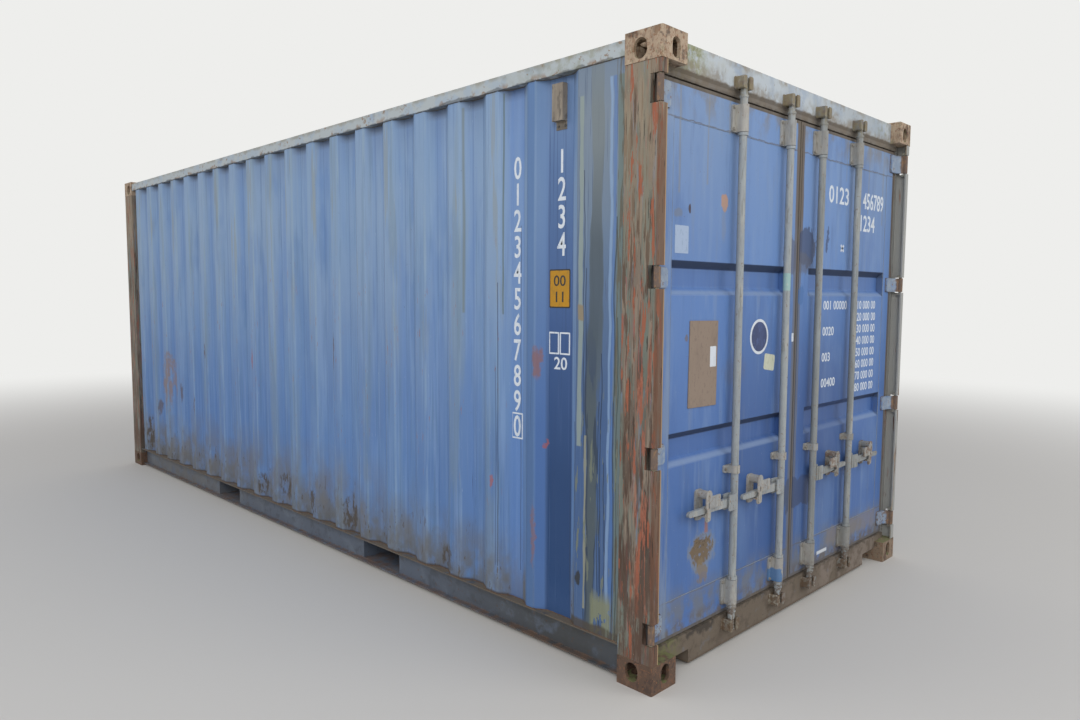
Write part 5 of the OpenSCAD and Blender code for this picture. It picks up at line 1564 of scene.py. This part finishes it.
@dataclass
class DoorLeaf(Assembly):
    """One door leaf with its bolts and beads. Sizes are distances from the middle in mm."""

    left: bool = True
    face: float = 2967.0
    panel: float = 2965.5
    back: float = 2917.0
    bars: tuple[float, float] = (590.0, 166.0)
    plate_thick: float = 8.0
    bracket_bolts: tuple[float, float] = (39.0, 46.0)
    bracket_z: tuple[float, float] = (2350.0, 255.0)
    guide_bolt: float = 38.0
    guide_z: float = 818.0
    panel_y: tuple[float, float] = (115.0, 1050.0)
    panel_z: tuple[float, float] = (320.0, 2288.0)
    leaf_y: tuple[float, float] = (19.0, 1132.0)
    leaf_z: tuple[float, float] = (172.0, 2420.0)
    strip_wide: float = 28.0
    strip_thick: float = 3.0
    rivet_pitch: float = 160.0
    blade_y: float = 1087.0
    blades: tuple[tuple[float, float], ...] = ((245.0, 40.0), (951.7, 40.0), (1658.3, 40.0), (2365.0, 50.0))

    @property
    def side(self) -> str:
        """Gives the name of the leaf's side."""
        return "left" if self.left else "right"

    @property
    def body(self) -> str:
        """Gives the CAD body of the leaf."""
        return f"{self.side}_door"

    @property
    def sign(self) -> int:
        """Gives the sign of the leaf's Y."""
        return -1 if self.left else 1

    def dress(self) -> None:
        """Gives the leaf and its gear their finishes."""
        dress(door_paint(self.left), f"{self.side}_door_frame", f"{self.side}_door_panel")
        dress(blade_paint(), f"{self.side}_hinge_blades")
        dress(gasket_rubber(), f"{self.side}_door_gasket")
        dress(gear_paint(ZINC_BRACKET, 0.1, 190, touched=self.left), f"{self.side}_bar_brackets")
        grip = gear_paint(ZINC_BRACKET, 0.2 if self.left else 0.8, 195)
        dress(grip, f"{self.side}_handle_retainers")
        rod = gear_paint(ZINC_COAT, 0.05, 198)
        for which in ("outer", "inner"):
            dress(grip, f"{self.side}_{which}_catch")
            dress(rod, f"{self.side}_{which}_bar", f"{self.side}_{which}_handle")

    def bolts(self) -> None:
        """Makes the bolts of the bar brackets and guides."""
        steel = plain_finish(ZINC_BOLT, "#5b5148", 360)
        out = self.face + self.plate_thick + 1
        across, up = self.bracket_bolts
        spots = [[(out, self.sign * bar + a * across, z + b * up)]
                 for bar in self.bars for z in self.bracket_z for a in (-1, 1) for b in (-1, 1)]
        spots += [[(out, self.sign * bar + a * self.guide_bolt, self.guide_z)]
                  for bar in self.bars for a in (-1, 1)]
        outward = Facing.DOOR_END.turn().to_euler()
        self.bolt.run(
            f"{self.side}_bracket_bolts", spots, self.body, "gear_paint", steel, outward, Radius=6, Height=5)

    def beads(self) -> None:
        """Makes the seams of the panel and the welds of the hinge blades."""
        seam = plain_finish(Finish("paint_seam", "#7e8b9b", 0.6), "#6a5f55", 370)
        y0, y1 = (self.sign * y for y in self.panel_y)
        z0, z1 = self.panel_z
        x = self.panel + 0.4
        runs = [[(x, y0, z0), (x, y1, z0)], [(x, y0, z1), (x, y1, z1)], [(x, y1, z0), (x, y1, z1)]]
        on = (self.body, "door_paint")
        self.bead.run(f"{self.side}_panel_seams", runs, *on, seam, Radius=1.4, Step=25, Ripple=0.3)
        rust = plain_finish(WEATHERED_STEEL, "#8a6d50", 375)
        x, inner, edge = self.face, self.sign * (self.blade_y - 1), self.sign * self.leaf_y[1]
        welds = [[(x, edge, z - half), (x, inner, z - half), (x, inner, z + half), (x, edge, z + half)]
                 for z, half in self.blades]
        self.bead.run(f"{self.side}_blade_welds", welds, *on, rust, Radius=2.2, Step=8, Ripple=0.7)

    def gasket_strips(self) -> None:
        """Makes the strips that clamp the gasket on the inner face, with their rivets."""
        paint = plain_finish(PAINTED_STRIP, "#6b5d50", 376)
        dark = plain_finish(BLACK_RIVET, "#8a857b", 377)
        half = self.strip_wide / 2
        y0, y1 = self.leaf_y[0] + half, self.leaf_y[1] - half
        z0, z1 = self.leaf_z[0] + half, self.leaf_z[1] - half
        wide, high = y1 - y0, z1 - z0
        out = self.back - self.strip_thick
        middle = (self.sign * (y0 + y1) / 2, (z0 + z1) / 2)
        strips = Plate(*middle, wide + 2 * half, high + 2 * half, out, Facing.DOOR_END,
                       thick=self.strip_thick, corner=1, border=self.strip_wide)
        strips.make(f"{self.side}_gasket_strip", paint, self.body, "door_paint")
        down, along = int(high / self.rivet_pitch), int(wide / self.rivet_pitch)
        spots = [[(out, self.sign * y, z0 + high * i / down)] for y in (y0, y1) for i in range(down + 1)]
        spots += [[(out, self.sign * (y0 + wide * i / along), z)] for z in (z0, z1) for i in range(1, along)]
        inward = (Matrix.Rotation(math.pi, 4, "Z") @ Facing.DOOR_END.turn()).to_euler()
        self.bolt.run(f"{self.side}_gasket_rivets", spots, self.body, "gear_paint", dark, inward,
                      Radius=4.5, Height=2.5)

    def build(self) -> None:
        """Makes what is fixed to the leaf."""
        self.bolts()
        self.beads()
        self.gasket_strips()


@dataclass
class LeftLeafMarks:
    """The plates, stickers and tape of the left leaf, all bare.

    Each is given by its middle along Y and Z, its width and its height, in mm.
    """

    face: float = 2967.0
    panel: float = 2965.5
    stile_label: tuple[float, ...] = (-31.0, 1386.0, 18.0, 42.0)
    board: tuple[float, ...] = (-812.0, 1300.0, 210.0, 366.0)
    board_label: tuple[float, ...] = (-740.0, 1328.0, 46.0, 88.0)
    faded_label: tuple[float, ...] = (-982.0, 1815.0, 94.0, 112.0)
    round_sticker: tuple[float, ...] = (-349.0, 1400.0, 164.0, 164.0)
    round_edge: float = 13.0
    torn_label: tuple[float, ...] = (-250.0, 1276.0, 98.0, 76.0)
    tape_z: tuple[float, float] = (1615.0, 1697.0)
    bar_y: float = -166.0
    bar_x: float = 2999.0
    bar_r: float = 17.0

    def tape(self) -> None:
        """Winds the pale tape round the inner bar."""
        shape = bmesh.new()
        count, rings = 32, []
        for radius, z in ((self.bar_r, self.tape_z[0]), (self.bar_r + 0.5, self.tape_z[0]),
                          (self.bar_r + 0.5, self.tape_z[1]), (self.bar_r, self.tape_z[1])):
            turns = [2 * math.pi * i / count for i in range(count)]
            rings.append([shape.verts.new((
                self.bar_x + radius * math.cos(a), self.bar_y + radius * math.sin(a), z)) for a in turns])
        for low, high in zip(rings, rings[1:]):
            for i in range(count):
                j = (i + 1) % count
                shape.faces.new((low[i], low[j], high[j], high[i]))
        shape.transform(Matrix.Scale(MM, 4))
        tape = plain_finish(VINYL_TAPE, "#b9beb2", 420)
        attach_solid("bar_tape", shape, tape, "left_inner_bar", "gear_paint")

    def build(self) -> None:
        """Makes the hardboard plate with its label, the stickers and the tape."""
        board = plain_finish(HARDBOARD, "#74655a", 380)
        white = plain_finish(MARKING_WHITE, "#a9adb0", 390)
        faded = plain_finish(PAPER_FADED, "#8496ae", 395)
        cream = plain_finish(PAPER_CREAM, "#9fa58c", 400)
        blue = plain_finish(MARKING_BLUE, "#4a5f94", 410)
        end = Facing.DOOR_END
        face = (self.panel, end)
        y, z, full, _ = self.round_sticker
        inner = full - 2 * self.round_edge
        for name, finish, plate in (
                ("tan_board", board, Plate(*self.board, *face, thick=4, lean=-0.8)),
                ("board_label", white, Plate(*self.board_label, *face, thick=4.5)),
                ("faded_label", faded, Plate(*self.faded_label, *face)),
                ("round_sticker_edge", white, Plate(*self.round_sticker, *face, corner=full / 2)),
                ("round_sticker", blue, Plate(y, z, inner, inner, *face, thick=0.9, corner=inner / 2)),
                ("torn_label", cream, Plate(*self.torn_label, *face, lean=-8, corner=12)),
                ("stile_label", white, Plate(*self.stile_label, self.face, end))):
            plate.make(name, finish, "left_door", "door_paint")
        self.tape()


@dataclass
class RightLeafMarks:
    """The painted numbers of the right leaf, plain digits in place of its markings.

    Rows are given by their digits, their middle along Y, their top and their width, in mm.
    """

    panel: float = 2965.5
    row_high: float = 88.0
    rows: tuple[tuple[str, float, float, float], ...] = (
        ("0123", 437.0, 2166.0, 235.0), ("456789", 876.0, 2166.0, 277.0), ("1234", 810.0, 2041.0, 189.0))
    table_high: float = 46.0
    table_top: float = 1566.0
    value_pitch: float = 66.4
    name_pitch: float = 136.7
    row_names: tuple[str, ...] = ("001 00000", "0020", "003", "00400")
    name_y: float = 437.0
    name_wide: float = 281.0
    value_y: float = 836.0
    value_wide: float = 250.0
    small_mark: tuple[float, ...] = (495.0, 1846.0, 14.0, 50.0)

    def build(self) -> None:
        """Makes the upper rows and the table of plain numbers."""
        white = plain_finish(MARKING_WHITE, "#9fb0c4", 430)
        face = (self.panel, Facing.DOOR_END)
        values = [f"{row}0 000 00" for row in range(1, 9)]
        top, high = self.table_top, self.table_high
        marks = [(f"row_numbers_{number}", Numbers(across, above, wide, self.row_high, *face, [text]))
                 for number, (text, across, above, wide) in enumerate(self.rows)]
        values_at = (self.value_y, top, self.value_wide, high, *face)
        names_at = (self.name_y, top, self.name_wide, high, *face)
        marks += [
            ("table_numbers", Numbers(*values_at, values, self.value_pitch)),
            ("table_rows", Numbers(*names_at, self.row_names, self.name_pitch, aside=True)),
            ("small_mark_a", Plate(*self.small_mark, *face, lean=-45, corner=6)),
            ("small_mark_b", Plate(*self.small_mark, *face, lean=45, corner=6))]
        for name, mark in marks:
            mark.make(name, white, "right_door", "door_paint")


@dataclass
class Studio:
    """Pale floor, soft light and the camera of the photograph. Lengths in metres, angles in degrees."""

    eye: tuple[float, float, float] = (4.8268, -3.6337, 1.5835)
    heading: float = 45.211
    dip: float = 4.678
    roll: float = 0.27
    lens: float = 26.05
    floor_half: float = 60.0
    fade_from: float = 4.5
    fade_to: float = 13.0
    backdrop: str = "#eeeeec"
    floor_colour: str = "#c9c6c0"
    sky: float = 0.62
    aim: tuple[float, float, float] = (1.5, 0.0, 1.2)
    lamps: tuple[tuple[str, tuple[float, float, float], float, float], ...] = (
        ("front_left", (8.5, -8.5, 6.0), 6.0, 470.0),
        ("far_left", (-5.0, -9.5, 6.5), 7.0, 190.0),
        ("door_side", (11.0, 3.0, 6.0), 7.0, 275.0))

    def camera(self) -> None:
        """Makes the camera where the photograph was taken from."""
        data = bpy.data.cameras.new("camera")
        data.lens, data.sensor_width = self.lens, 36.0
        data.clip_start, data.clip_end = 0.05, 500.0
        eye = place_in_scene("camera", data)
        turn = (Matrix.Rotation(math.radians(self.heading), 4, "Z")
                @ Matrix.Rotation(math.radians(90 - self.dip), 4, "X")
                @ Matrix.Rotation(math.radians(self.roll), 4, "Z"))
        eye.matrix_world = Matrix.Translation(self.eye) @ turn
        bpy.context.scene.camera = eye

    def shows(self, tree: bpy.types.NodeTree) -> Field:
        """Tells rays of the camera, of gloss and of glass from the rest.

        Args:
            tree: The tree that gets the nodes.

        Returns:
            1 for those rays and 0 for the rest.
        """
        rays = add(tree, Kind.LIGHT_PATH).outputs
        seen = Field(rays["Is Camera Ray"]).math("ADD", rays["Is Glossy Ray"])
        return seen.math("ADD", rays["Is Transmission Ray"], use_clamp=True)

    def sky_light(self) -> None:
        """Makes a plain white world that shows as the pale backdrop."""
        world = bpy.data.worlds.new("studio")
        tree = cleared(world)
        light = add(tree, Kind.BACKGROUND, {"Color": linear("#f6f8ff"), "Strength": self.sky})
        shown = add(tree, Kind.BACKGROUND, {"Color": linear(self.backdrop), "Strength": 1.0})
        both = add(tree, Kind.BLEND, {0: self.shows(tree), 1: light, 2: shown})
        add(tree, Kind.WORLD_OUTPUT, {0: both})
        bpy.context.scene.world = world

    def floor(self) -> None:
        """Makes the floor, which fades into the backdrop far from the container."""
        mesh = bpy.data.meshes.new("floor")
        h = self.floor_half
        mesh.from_pydata([(-h, -h, 0), (h, -h, 0), (h, h, 0), (-h, h, 0)], [], [(0, 1, 2, 3)])
        material = bpy.data.materials.new("studio_floor")
        tree = cleared(material)
        matt = add(tree, Kind.SHADER, {"Base Color": linear(self.floor_colour), "Roughness": 0.9})
        glow = add(tree, Kind.GLOW, {"Color": linear(self.backdrop), "Strength": 1.0})
        place = add(tree, Kind.COORDINATES).outputs["Object"]
        far = Field(add(tree, Kind.VECTOR, {0: place}, operation="LENGTH").outputs["Value"])
        cover = far.rise(self.fade_from, self.fade_to, Easing.SOFT) * self.shows(tree)
        add(tree, Kind.OUTPUT, {0: add(tree, Kind.BLEND, {0: cover, 1: matt, 2: glow})})
        mesh.materials.append(material)
        floor = place_in_scene("floor", mesh)

    def lights(self) -> None:
        """Hangs the soft lamps, each aimed at the middle of the container."""
        for name, place, size, watts in self.lamps:
            data = bpy.data.lights.new(name, "AREA")
            data.shape, data.size, data.energy = "DISK", size, watts
            lamp = place_in_scene(name, data)
            aim = Vector(self.aim) - Vector(place)
            lamp.matrix_world = Matrix.Translation(place) @ aim.to_track_quat("-Z", "Y").to_matrix().to_4x4()

    def build(self) -> None:
        """Sets up the whole studio."""
        self.camera()
        self.sky_light()
        self.floor()
        self.lights()
        bpy.context.scene.view_settings.view_transform = "Standard"


def main() -> None:
    """Builds and dresses the container."""
    logging.basicConfig(level=logging.INFO, format="%(name)s: %(message)s")
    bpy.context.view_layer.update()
    Studio().build()
    trees = (bead_tree(), bolt_tree())
    for assembly in (SideWalls(*trees), CornerFrame(*trees), DoorLeaf(*trees, True), DoorLeaf(*trees, False)):
        assembly.dress()
        assembly.build()
    LeftLeafMarks().build()
    RightLeafMarks().build()


if __name__ == "__main__":
    main()
